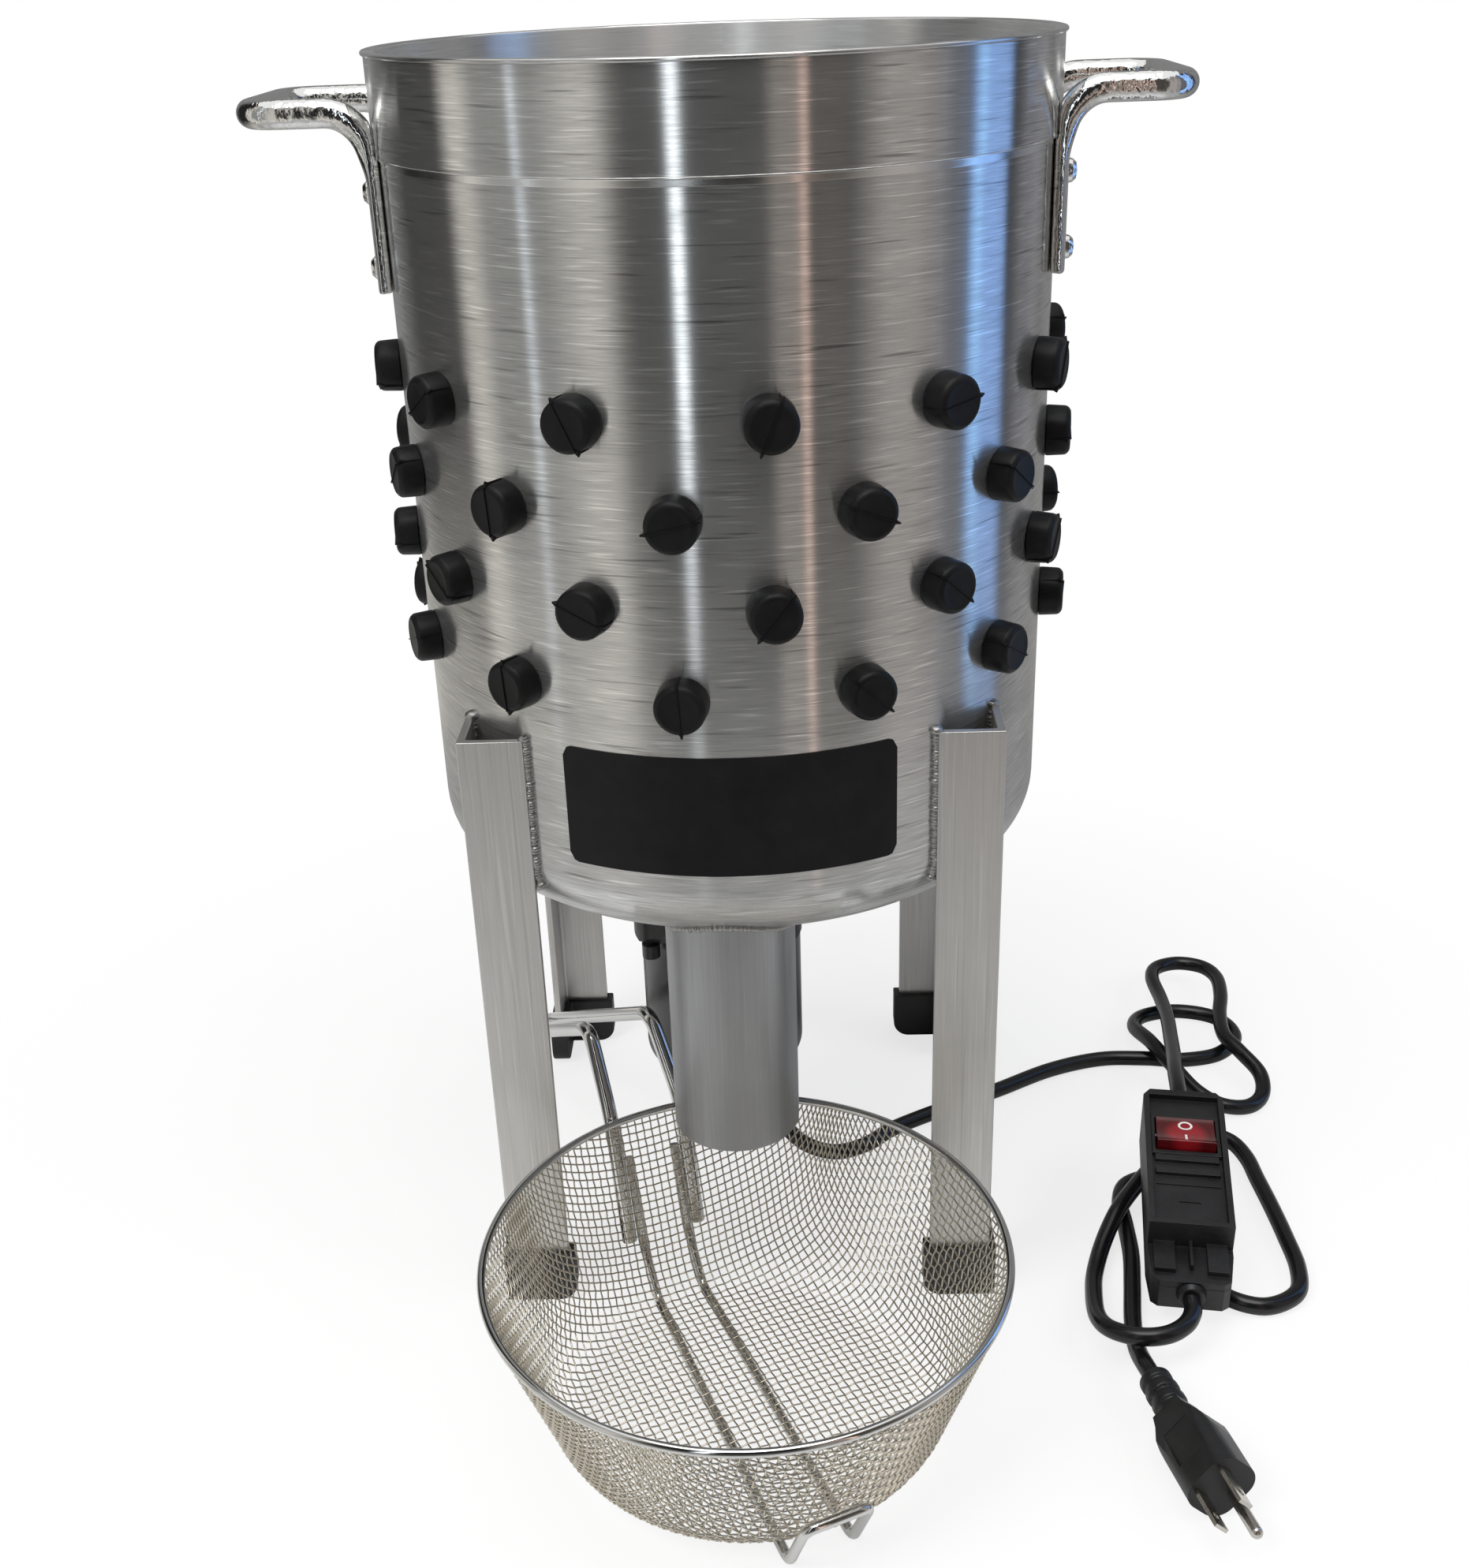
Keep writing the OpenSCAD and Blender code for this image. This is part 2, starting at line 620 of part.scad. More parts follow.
module cord_gland() {
    reach = motor_d / 2;
    color("black") difference() {
        translate([-motor_off, 0, gland_z]) rotate([-90, 0, 0]) rotate_extrude()
            polygon([[0, reach - 6], [9, reach - 6], [9, reach + 4], [7.4, reach + 5], [7.4, reach + 9],
                [6.4, reach + 10],
                [6.8, reach + 13], [6, reach + 14], [6.2, reach + 18], [5.2, reach + 19], [5.2,
                reach + gland_len],
                [0, reach + gland_len]]);
        translate([-motor_off, 0, 0]) cylinder(r = reach + seat, h = drum_base);
    }
}

// cord
module motor_lead() { color("black") tube(motor_line, cord_d / 2, cord_sides); }
module plug_lead() { color("black") tube(plug_line, cord_d / 2, cord_sides); }

// switch box in its own frame: x across, y along, z up from the underside
module box_place() { translate(box_at) rotate([0, 0, box_turn]) rotate([box_tilt, 0, 0]) children(); }
module box_outline(in) {
    w = box_w / 2 - in;
    polygon([[-(w - 4.5), in], [w - 4.5, in], [w - 1.6, in + 2.2], [w, near_len - 4], [w,
        box_len - 4 - in], [w - 3, box_len - in],
        [-(w - 3), box_len - in], [-w, box_len - 4 - in], [-w, near_len - 4], [-(w - 1.6), in + 2.2]]);
}
module box_screw_places() {
    for (x = [-1, 1], y = [near_len + 8, box_len - 9]) translate([x * (box_w / 2 - 6), y, 0]) children();
}
module switch_base() {
    color("black") box_place() difference() {
        linear_extrude(box_split - seat) box_outline(0);
        difference() {
            translate([0, 0, box_wall]) linear_extrude(box_split) box_outline(box_wall);
            box_screw_places() cylinder(r = post_r, h = box_split);
        }
        box_screw_places() translate([0, 0, -1]) cylinder(r = 3.2, h = 3.2);
        box_screw_places() translate([0, 0, -1]) cylinder(r = 1.55, h = box_split + 2);
    }
}
module switch_cover() {
    floor_z = box_h - recess;
    color("black") box_place() difference() {
        union() {
            translate([0, 0, box_split]) linear_extrude(near_h - box_split) box_outline(0);
            intersection() {
                translate([0, 0, box_split]) linear_extrude(box_h - box_split) box_outline(0);
                translate([-box_w, near_len, 0]) cube([2 * box_w, box_len, box_h]);
            }
            for (x = [-1, 1]) translate([x * (box_w / 2 - 6.8) - 4.4, 4.5, near_h - 1])
                cube([8.8, near_len - 4, 3.6]);
            translate([-0.7, 6.5, near_h - 1]) cube([1.4, near_len - 6, 4.6]);
        }
        difference() {
            translate([-(box_w / 2 - 2.6), near_len + 2.4, floor_z])
                cube([box_w - 5.2, box_len - near_len - 6, recess + 1]);
            for (y = rib_places) translate([-(box_w / 2 - 4), y - 1.8, floor_z - 1])
                cube([box_w - 8, 3.6, 2.8]);
        }
        translate([-(box_w / 2 - 4), 45, floor_z - 0.7]) cube([box_w - 8, 1, 2]);
        translate([-4.5, 35, floor_z - 0.7]) cube([9, 1, 2]);
        difference() {
            intersection() {
                translate([0, 0, box_split - 1]) linear_extrude(floor_z - 2.4 - box_split + 1)
                    box_outline(box_wall);
                translate([-box_w, near_len + box_wall, 0]) cube([2 * box_w, box_len, box_h]);
            }
            box_screw_places() cylinder(r = post_r, h = box_h);
        }
        translate([-(rocker_w / 2 + rocker_gap + bezel_wall + 0.2),
            rocker_y - (rocker_half + rocker_sweep + bezel_wall + 0.2), box_split])
            cube([rocker_w + 2 * (rocker_gap + bezel_wall + 0.2),
                2 * (rocker_half + rocker_sweep + bezel_wall + 0.2), box_h]);
        box_screw_places() translate([0, 0, box_split - 1]) cylinder(r = 1.55, h = 8);
    }
}
module switch_bezel() {
    in_x = rocker_w / 2 + rocker_gap;
    in_y = rocker_half + rocker_sweep;
    floor_z = box_h - recess;
    color("black") box_place() translate([0, rocker_y, 0]) difference() {
        union() {
            translate([-(in_x + bezel_wall), -(in_y + bezel_wall), box_split + 1])
                cube([2 * (in_x + bezel_wall), 2 * (in_y + bezel_wall), floor_z - box_split]);
            translate([-(in_x + 1.7), -(in_y + 2.4), floor_z + seat])
                cube([2 * in_x + 3.4, 2 * in_y + 4.8, 1.6]);
        }
        translate([-in_x, -in_y, box_split + 2.4]) cube([2 * in_x, 2 * in_y, box_h]);
        translate([-(in_x + bezel_wall / 2), 0, pivot_z]) rotate([0, 90, 0])
            cylinder(r = pin_r + run_gap, h = 2 * in_x + bezel_wall);
    }
}
module switch_rocker() {
    half = rocker_half;
    color("firebrick") box_place() translate([0, rocker_y, pivot_z]) rotate([-rocker_rest, 0, 0]) {
        translate([-rocker_w / 2, 0, 0]) rotate([90, 0, 90]) linear_extrude(rocker_w)
            polygon([[-half, 4.8], [-half / 2, 3.7], [0, 3.2], [half / 2, 3.7], [half, 4.8], [half,
                -0.5], [5.6, -5.5], [-5.6, -5.5], [-half, -0.5]]);
        translate([-(rocker_w / 2 + rocker_gap + bezel_wall / 2 - 0.1), 0, 0]) rotate([0, 90, 0])
            cylinder(r = pin_r, h = rocker_w + 2 * rocker_gap + bezel_wall - 0.2);
    }
}
module switch_screws() {
    color("dimgray") box_place() box_screw_places() {
        translate([0, 0, 0.4]) cylinder(r = 2.8, h = 1.8);
        translate([0, 0, 1.5]) cylinder(r = 1.5, h = box_split + 4);
    }
}
module switch_grommets() {
    color("black") box_place() {
        translate([0, -seat, 9]) rotate([90, 0, 0]) cylinder(r1 = 6.4, r2 = 5.4, h = 3 - seat);
        translate([0, box_len + seat, 14]) rotate([-90, 0, 0]) cylinder(r1 = 6.4, r2 = 5.4, h = 3 - seat);
    }
}

// plug in its own frame: x towards the pins, blades side by side in y, ground pin below
module plug_place() { translate(plug_at) rotate([0, -plug_pitch, plug_turn]) rotate([plug_roll, 0, 0])
    children(); }
module plug_face() {
    translate([-4.5, -12.4]) square([9, 21.8]);
    translate([-12.4, -4.5]) square([24.8, 6]);
    for (s = [-1, 1]) {
        translate([s * 4.5, -4.5]) circle(7.9);
        translate([s * 4.5, 1.5]) circle(7.9);
    }
}
module plug_body() {
    color("black") plug_place() difference() {
        intersection() {
            rotate([90, 0, 90]) linear_extrude(plug_len) plug_face();
            translate([0, 0, -20]) linear_extrude(40)
                polygon([[relief_len + seat, -6.5], [relief_len + 5, -7.5], [plug_shoulder, -11.2],
                    [plug_full - 2, -plug_half], [plug_len, -plug_half], [plug_len, plug_half],
                    [plug_full - 2, plug_half], [plug_shoulder, 11.2], [relief_len + 5, 7.5],
                    [relief_len + seat, 6.5]]);
            translate([0, 20, 0]) rotate([90, 0, 0]) linear_extrude(40)
                polygon([[relief_len + seat, -6.2], [plug_shoulder, -9.5], [plug_full, -plug_half],
                    [plug_len, -plug_half], [plug_len, 9.6], [plug_full + 2, 9.4], [plug_shoulder, 7.8],
                    [relief_len + seat, 6.2]]);
        }
        translate([32, -6, 7.4]) rotate([0, -4, 0]) cube([18, 12, 4]);
        for (s = [-1, 1]) translate([plug_len - 8, s * blade_gap / 2 - blade_t / 2 - seat,
            blade_z - blade_w / 2 - seat])
            cube([10, blade_t + 2 * seat, blade_w + 2 * seat]);
        translate([plug_len - 8, 0, blade_z - ground_off]) rotate([0, 90, 0])
            cylinder(d = ground_d + 2 * seat, h = 10);
    }
}
module plug_relief() {
    color("black") plug_place() rotate([0, 90, 0]) rotate_extrude()
        polygon([[0, 0], [5.6, 0], [6.6, 1], [6.6, 4], [5.6, 5],
        [5.6, 6.5], [6.9, 7.5], [6.9, 10.5], [5.8, 11.5], [5.8, 13], [7, 14], [7, 17], [6, 18], [6,
        relief_len], [0, relief_len]]);
}
module plug_blades() {
    color("silver") plug_place() for (s = [-1, 1])
        translate([plug_len - 7.5, s * blade_gap / 2 - blade_t / 2, blade_z - blade_w / 2]) difference() {
            cube([blade_len + 7.5, blade_t, blade_w]);
            translate([blade_len + 2, -1, blade_w / 2]) rotate([-90, 0, 0]) cylinder(r = 1.6, h = 4);
        }
}
module ground_pin() {
    color("silver") plug_place() translate([plug_len - 7.5, 0, blade_z - ground_off]) rotate([0, 90, 0]) {
        cylinder(d = ground_d, h = ground_len + 7.5 - ground_d / 2);
        translate([0, 0, ground_len + 7.5 - ground_d / 2]) sphere(d = ground_d);
    }
}

// basket in its own frame: v towards the handle
module basket_place() { translate([basket_x, basket_y, 0]) rotate([0, 0, basket_turn]) children(); }
bowl_top_r = basket_r - rim_wire_d / 2;
bowl_top_z = rim_z - rim_wire_d / 2 - seat;
function knee(f, t) = let (a = [bowl_flat_r, bowl_z + t], b = [bowl_knee_r - 5 - t * 0.9, bowl_z + t],
    c = [bowl_knee_r - t, bowl_knee_z])
    (1 - f) * (1 - f) * a + 2 * f * (1 - f) * b + f * f * c;
module basket_bowl() {
    color("tan") basket_place() rotate_extrude() polygon(concat([[0, bowl_z]],
        [for (k = [0 : 8]) knee(k / 8, 0)],
        [[bowl_top_r + bowl_t / 2, bowl_top_z], [bowl_top_r - bowl_t / 2, bowl_top_z]],
        [for (k = [8 : -1 : 0]) knee(k / 8, bowl_t)], [[0, bowl_z + bowl_t]]));
}
module basket_rim() {
    color("gray") basket_place() translate([0, 0, rim_z]) rotate_extrude() translate([bowl_top_r, 0])
        circle(d = rim_wire_d);
}
rod_seat = rod_d / 2 - 0.5;
handle_path = [[-rod_side, rod_foot[0], rod_foot[1]], [-rod_side, basket_r + rod_seat, rim_z],
    [-rod_side, basket_r + rod_out, rim_z + rod_rise], [-rod_end_left, basket_r + rod_run, rod_end_z],
    [rod_end_right, basket_r + rod_run, rod_end_z], [rod_far_side, basket_r + rod_out, rim_z + rod_rise],
    [rod_side, basket_r + rod_seat, rim_z], [rod_side, rod_foot[0], rod_foot[1]]];
module basket_handle() { color("silver") basket_place() tube(bent(handle_path, 9), rod_d / 2, 16); }
runner_z = runner_d / 2 + 0.1;
runner_left = -runner_gap - runner_shift;
runner_right = runner_gap - runner_shift;
runner_path = [[-runner_back, runner_end[0], runner_end[1]], [-runner_back, runner_knee[0], runner_knee[1]],
    [-runner_back, runner_rear, runner_z], [runner_left, -runner_front, runner_z],
    [runner_left, -hook_out, hook_z], [runner_right, -hook_out, hook_z],
    [runner_right, -runner_front, runner_z], [runner_back, runner_rear, runner_z],
    [runner_back, runner_knee[0], runner_knee[1]], [runner_back, runner_end[0], runner_end[1]]];
module basket_runners() { color("silver") basket_place() tube(bent(runner_path, 5), runner_d / 2, 12); }

drum_pot();
handle_left();
handle_right();
handle_rivets_left();
handle_rivets_right();
leg_front_left();
leg_front_right();
leg_rear_left();
leg_rear_right();
foot_front_left();
foot_front_right();
foot_rear_left();
foot_rear_right();
drain_spout();
drum_fingers_row_1();
drum_fingers_row_2();
drum_fingers_row_3();
drum_fingers_row_4();
feather_plate();
plate_fingers();
drive_hub();
hub_screws();
hub_set_screw();
output_shaft();
shaft_seal();
gearbox_flange();
gearbox_case();
gearbox_screws();
motor_can();
motor_end_cap();
mounting_screws();
cord_gland();
motor_lead();
plug_lead();
switch_base();
switch_cover();
switch_bezel();
switch_rocker();
switch_screws();
switch_grommets();
plug_body();
plug_relief();
plug_blades();
ground_pin();
basket_bowl();
basket_rim();
basket_handle();
basket_runners();
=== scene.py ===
"""Finishes for a small drum plucker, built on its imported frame."""
import math
import random

import bmesh
import bpy
from bpy.props import FloatProperty, FloatVectorProperty, IntProperty, PointerProperty
from mathutils import Matrix, Vector


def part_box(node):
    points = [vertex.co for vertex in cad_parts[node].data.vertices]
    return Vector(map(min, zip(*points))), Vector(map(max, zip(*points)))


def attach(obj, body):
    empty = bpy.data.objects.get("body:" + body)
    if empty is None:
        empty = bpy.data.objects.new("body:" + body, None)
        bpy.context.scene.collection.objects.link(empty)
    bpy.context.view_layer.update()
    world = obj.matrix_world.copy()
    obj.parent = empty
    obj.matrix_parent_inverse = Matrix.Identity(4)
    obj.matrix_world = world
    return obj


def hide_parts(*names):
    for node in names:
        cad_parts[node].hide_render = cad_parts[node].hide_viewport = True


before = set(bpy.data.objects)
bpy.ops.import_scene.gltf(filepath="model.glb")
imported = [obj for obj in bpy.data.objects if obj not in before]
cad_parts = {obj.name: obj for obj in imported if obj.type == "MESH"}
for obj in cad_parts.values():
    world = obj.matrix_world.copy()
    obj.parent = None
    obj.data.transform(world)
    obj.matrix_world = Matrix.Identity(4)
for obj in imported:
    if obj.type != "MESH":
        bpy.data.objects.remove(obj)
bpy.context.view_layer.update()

bl_info = {
    "name": "Drum Plucker Finishes",
    "version": (1, 0, 0),
    "blender": (4, 5, 0),
    "location": "View3D > Sidebar > Plucker",
    "description": "Builds the finished drum plucker around its packed solids",
    "category": "Object",
}

MM = 0.001

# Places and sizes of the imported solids, in metres
DRUM_LOW, DRUM_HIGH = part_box("drum_pot")
LIP_PROUD, LIP_DEEP = 0.0024, 0.0016
DRUM_R = DRUM_HIGH[0] - LIP_PROUD
DRUM_WALL = 0.0032
DRUM_CORNER = 0.026
BAND_DEEP = 0.0358
CORNERS = ("front_left", "front_right", "rear_left", "rear_right")
LEG_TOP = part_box("leg_front_left")[1][2]
LEG_CORNER = -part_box("leg_front_left")[0][0]
LEG_FLANGE = 0.0254
SPOUT_LOW, SPOUT_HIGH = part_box("drain_spout")
PLATE_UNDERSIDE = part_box("feather_plate")[0][2]
PLATE_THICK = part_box("feather_plate")[1][2] - PLATE_UNDERSIDE

# Fingers: rows in the wall, turns of a row's first finger in degrees, and rings on the plate
ROW_NAMES = ["drum_fingers_row_%d" % k for k in (1, 2, 3, 4)]
FINGERS_IN_ROW = 12
ROW_PHASES = (8.0, -7.0)
FINGER_SHOULDER_R = 0.010
FINGER_SLACK = 0.00005
PLATE_RINGS = ((0.0878, 8, 0.0), (0.048, 4, 22.5))

# Bare label on the drum's front: its half turn, then sizes in metres
LABEL_HALF_TURN = math.radians(29.2)
LABEL_LOW, LABEL_HIGH = 0.2197, 0.268
LABEL_CORNER, LABEL_THICK, LABEL_GAP = 0.004, 0.0003, 0.00004

# Handle arms: bend and its run, end and thickness, each with the share kept of what lies past it
ARM_BEND, ARM_BEND_RUN = DRUM_HIGH[2] - 0.025, 0.021
ARM_END, ARM_END_SHARE = DRUM_HIGH[2] - 0.072, 0.58
ARM_THICK, ARM_THICK_SHARE = 0.0045, 0.12

# Weld beads: radii in metres, then the steps of the path down a leg
LEG_BEAD_R, SPOUT_BEAD_R = 0.0021, 0.0014
BEAD_STEP, BEAD_STEPS = 0.004, 17

# Frames of the pieces that lie turned
BASKET_FRAME = Matrix.Translation((0.001, -0.17203, 0.0)) @ Matrix.Rotation(math.radians(25), 4, "Z")
BOX_FRAME = (Matrix.Translation((0.185, -0.128, 0.010)) @ Matrix.Rotation(math.radians(-8.45), 4, "Z")
             @ Matrix.Rotation(math.radians(6.5), 4, "X"))
ROCKER_FRAME = (BOX_FRAME @ Matrix.Translation((0, 0.076, 0.0255))
                @ Matrix.Rotation(math.radians(-9), 4, "X"))

# Rocker: half length and half width, in millimetres
ROCKER_HALF, ROCKER_REACH = 12.8, 9.2

# Basket: bowl's wall as radius and height in metres, rim wire, and rods' corners in millimetres
BOWL_FLOOR, BOWL_BEND, BOWL_WALL = (0.062, 0.0053), (0.077, 0.0053), (0.0819, 0.0242)
BOWL_RIM, BOWL_PAST_RIM = (0.1009, 0.07855), (0.1199, 0.1329)
RIM_WIRE_Z = 0.0802
HANDLE_ROD = [(-16, 91, 24), (-16, 105.2, 80.2), (-16, 126, 113.2), (-25, 255, 38), (4, 255, 38),
              (12, 126, 113.2), (16, 105.2, 80.2), (16, 91, 24)]
RUNNER_ROD = [(-10.5, 101, 60), (-10.5, 89.5, 22), (-10.5, 74, 2.1), (-19, -75.6, 2.1), (-19, -89.6, 31),
              (7, -89.6, 31), (7, -75.6, 2.1), (10.5, 74, 2.1), (10.5, 89.5, 22), (10.5, 101, 60)]

# Centre lines of the two leads, in metres
MOTOR_ROUTE = [
    (-0.011, 0.0599, 0.085), (-0.011, 0.070, 0.0846), (-0.010, 0.085, 0.076), (-0.009, 0.094, 0.058),
    (-0.007, 0.090, 0.036), (-0.004, 0.074, 0.016), (0.002, 0.052, 0.006), (0.010, 0.028, 0.0043),
    (0.017, 0.011, 0.004), (0.027, -0.003, 0.004), (0.041, -0.009, 0.004), (0.056, -0.003, 0.004),
    (0.068, 0.008, 0.004), (0.082, 0.017, 0.004), (0.100, 0.027, 0.004), (0.124, 0.040, 0.004),
    (0.153, 0.057, 0.004), (0.180, 0.066, 0.004), (0.203, 0.066, 0.004), (0.222, 0.064, 0.004),
    (0.242, 0.069, 0.004), (0.254, 0.085, 0.004), (0.248, 0.103, 0.004), (0.229, 0.110, 0.0042),
    (0.210, 0.105, 0.0048), (0.202, 0.090, 0.008), (0.206, 0.068, 0.013), (0.213, 0.048, 0.012),
    (0.222, 0.031, 0.008), (0.233, 0.022, 0.0055), (0.246, 0.022, 0.0044), (0.255, 0.031, 0.005),
    (0.257, 0.045, 0.008), (0.250, 0.059, 0.012), (0.245, 0.073, 0.013), (0.247, 0.092, 0.013),
    (0.252, 0.112, 0.013), (0.254, 0.131, 0.012), (0.249, 0.1435, 0.0113), (0.2365, 0.1485, 0.011),
    (0.224, 0.1435, 0.0113), (0.219, 0.131, 0.0123), (0.219, 0.108, 0.0138), (0.217, 0.082, 0.0185),
    (0.213, 0.055, 0.024), (0.209, 0.030, 0.030), (0.205, 0.008, 0.035), (0.2023, -0.011, 0.0375),
    (0.20045, -0.024, 0.03607)]
PLUG_ROUTE = [
    (0.18435, -0.13235, 0.01855), (0.1836, -0.1386, 0.0178), (0.1796, -0.1454, 0.0175),
    (0.1722, -0.1506, 0.0173), (0.1632, -0.1519, 0.0169), (0.1544, -0.1489, 0.0158),
    (0.148, -0.1415, 0.0132), (0.146, -0.130, 0.0096), (0.1475, -0.114, 0.0066), (0.1505, -0.099, 0.0052),
    (0.157, -0.082, 0.008), (0.166, -0.066, 0.0126), (0.178, -0.048, 0.013), (0.190, -0.032, 0.013),
    (0.200, -0.019, 0.0118), (0.2056, -0.0062, 0.009), (0.218, -0.001, 0.006), (0.2304, -0.0062, 0.0046),
    (0.2354, -0.0185, 0.0041), (0.2366, -0.035, 0.004), (0.238, -0.054, 0.004), (0.239, -0.076, 0.004),
    (0.239, -0.097, 0.004), (0.234, -0.113, 0.004), (0.2185, -0.1205, 0.004), (0.203, -0.113, 0.004),
    (0.198, -0.097, 0.004), (0.1995, -0.080, 0.004), (0.204, -0.064, 0.004), (0.205, -0.050, 0.004),
    (0.1999, -0.0376, 0.004), (0.1875, -0.0325, 0.004), (0.1751, -0.0376, 0.004), (0.170, -0.050, 0.004),
    (0.1696, -0.066, 0.004), (0.1686, -0.086, 0.004), (0.1655, -0.106, 0.004), (0.162, -0.126, 0.004),
    (0.1603, -0.141, 0.0049), (0.1597, -0.152, 0.0082), (0.1602, -0.1612, 0.0111),
    (0.1619, -0.1696, 0.01197)]

# Camera that took the photograph: its focal length in pixels becomes a lens for a 36 mm long side
IMAGE_SIZE = (1861, 1988)
FOCAL_PIXELS = 2260.3
SENSOR_SIDE = 36.0
CAMERA_AT = Vector((0.02173, -0.71404, 0.53492))
CAMERA_YAW, CAMERA_PITCH, CAMERA_ROLL = (math.radians(v) for v in (-1.95, 25.26, -2.08))

# Soft panels, added up: turn, half width and soft edge in degrees, lower end in metres, colour
PANELS = [
    (-180.0, 45.0, 20.0, -1.0, (0.22, 0.22, 0.22)),
    (-81.3, 1.8, 7.0, -1.0, (0.42, 0.39, 0.35)),
    (-58.5, 25.5, 5.5, -1.0, (0.27, 0.27, 0.26)),
    (-58.6, 0.5, 1.6, 0.05, (0.66, 0.72, 0.80)),
    (-38.0, 2.0, 12.0, -1.0, (0.32, 0.30, 0.27)),
    (-10.6, 0.4, 2.2, 0.13, (2.3, 2.45, 2.6)),
    (20.5, 2.5, 4.0, -1.0, (0.23, 0.20, 0.18)),
    (25.8, 0.4, 1.2, -1.0, (0.95, 0.66, 0.55)),
    (34.5, 3.0, 4.0, -1.0, (0.06, 0.05, 0.04)),
    (57.0, 5.0, 13.0, -1.0, (0.38, 0.35, 0.33)),
    (74.5, 4.0, 6.0, -1.0, (0.13, 0.13, 0.15)),
    (91.8, 7.6, 2.5, 0.0, (0.31, 0.55, 1.10)),
    (86.7, 0.8, 1.6, 0.0, (0.14, 0.34, 0.42)),
    (117.0, 5.0, 8.0, -1.0, (0.18, 0.18, 0.20)),
    (180.0, 45.0, 20.0, -1.0, (0.22, 0.22, 0.22)),
]
PANEL_REST = (0.02, 0.02, 0.02)
PANEL_FADE = 0.14
PANEL_LOW, PANEL_LOW_TOP = (0.82, 0.79, 0.72), 0.26
PANEL_R, PANEL_BOTTOM, PANEL_TOP = 0.62, -0.001, 1.05
FLOOR_R = 4.0
FLOOR_DULL = 0.42
WORLD_DIM = 0.42
WHITE = (1.0, 1.0, 1.0, 1.0)


def length_property(name, description, default):
    return FloatProperty(name=name, description=description, default=default, unit="LENGTH")


def colour_property(name, description, default):
    return FloatVectorProperty(name=name, description=description, default=default, size=3, subtype="COLOR")


class PluckerSizes(bpy.types.PropertyGroup):
    """Sizes of the finished pieces that a user may change"""
    cord_diameter: length_property("Cord", "Diameter of both leads", 0.0075)
    weave_pitch: length_property("Weave pitch", "Distance between the basket's mesh wires", 0.0035)
    weave_wire: length_property("Weave wire", "Diameter of the basket's mesh wire", 0.0007)
    flash_width: length_property("Flash width", "Width of the moulding line on a finger", 0.0004)
    cast_voxel: length_property("Casting detail", "Grid used to round the cast handles", 0.0008)
    turn_seed: IntProperty(name="Finger turn seed", description="Seed for how each finger is turned",
                           default=4)


class PluckerColours(bpy.types.PropertyGroup):
    """Colours of the finishes that a user may change"""
    drum: colour_property("Drum", "Brushed drum", (0.62, 0.62, 0.61))
    casting: colour_property("Handles", "Polished castings", (0.80, 0.80, 0.79))
    legs: colour_property("Legs", "Extruded angle", (0.66, 0.65, 0.63))
    spout: colour_property("Spout", "Drawn tube", (0.42, 0.425, 0.437))
    rubber: colour_property("Rubber", "Fingers and feet", (0.0042, 0.0042, 0.0046))
    plastic: colour_property("Plastic", "Switch box and plug", (0.0055, 0.0055, 0.006))
    rocker: colour_property("Rocker", "Clear red rocker", (0.30, 0.008, 0.014))
    mesh: colour_property("Mesh", "Woven basket wire", (0.68, 0.632, 0.535))
    floor: colour_property("Floor", "Pale floor", (0.86, 0.86, 0.86))


def sizes():
    return bpy.context.scene.plucker_sizes


def colours():
    return bpy.context.scene.plucker_colours


# Node helpers
def fill(tree, node, inputs):
    """Links sockets to a node's inputs and sets plain values on them."""
    for key, value in inputs.items():
        if isinstance(value, bpy.types.NodeSocket):
            tree.links.new(value, node.inputs[key])
        else:
            node.inputs[key].default_value = value


def add_node(tree, kind, inputs=None, **settings):
    """Adds a node, sets its own settings, then fills its inputs."""
    node = tree.nodes.new(kind)
    for key, value in settings.items():
        setattr(node, key, value)
    fill(tree, node, inputs or {})
    return node


def blend_colour(tree, factor, first, second, blend_type="MIX"):
    node = add_node(tree, "ShaderNodeMix", {0: factor, 6: first, 7: second}, data_type="RGBA",
                    blend_type=blend_type)
    return node.outputs[2]


def blend_shader(tree, factor, first, second):
    return add_node(tree, "ShaderNodeMixShader", {0: factor, 1: first, 2: second}).outputs["Shader"]


def spread(tree, value, low, high, to_low, to_high):
    """Maps a value's range onto another, clamped."""
    node = add_node(tree, "ShaderNodeMapRange", {"Value": value, "From Min": low, "From Max": high,
                                                 "To Min": to_low, "To Max": to_high})
    return node.outputs[0]


def combine(tree, operation, first, second):
    return add_node(tree, "ShaderNodeMath", {0: first, 1: second}, operation=operation).outputs[0]


def times(tree, first, second):
    return combine(tree, "MULTIPLY", first, second)


def noise(tree, point, scale, **settings):
    return add_node(tree, "ShaderNodeTexNoise", {"Vector": point, "Scale": scale, **settings}).outputs[0]


def rgba(colour, gain=1.0):
    return (colour[0] * gain, colour[1] * gain, colour[2] * gain, 1.0)


def new_material(name):
    material = bpy.data.materials.new(name)
    material.use_nodes = True
    tree = material.node_tree
    tree.nodes.clear()
    shader = tree.nodes.new("ShaderNodeBsdfPrincipled")
    output = tree.nodes.new("ShaderNodeOutputMaterial")
    tree.links.new(shader.outputs["BSDF"], output.inputs["Surface"])
    return material, tree, shader


def object_coords(tree):
    return tree.nodes.new("ShaderNodeTexCoord").outputs["Object"]


def turn_and_height(tree):
    """A point's turn round Z, from the front with the seam at the back, and its height."""
    split = add_node(tree, "ShaderNodeSeparateXYZ", {"Vector": object_coords(tree)})
    ahead = times(tree, split.outputs["Y"], -1.0)
    return combine(tree, "ARCTAN2", split.outputs["X"], ahead), split.outputs["Z"]


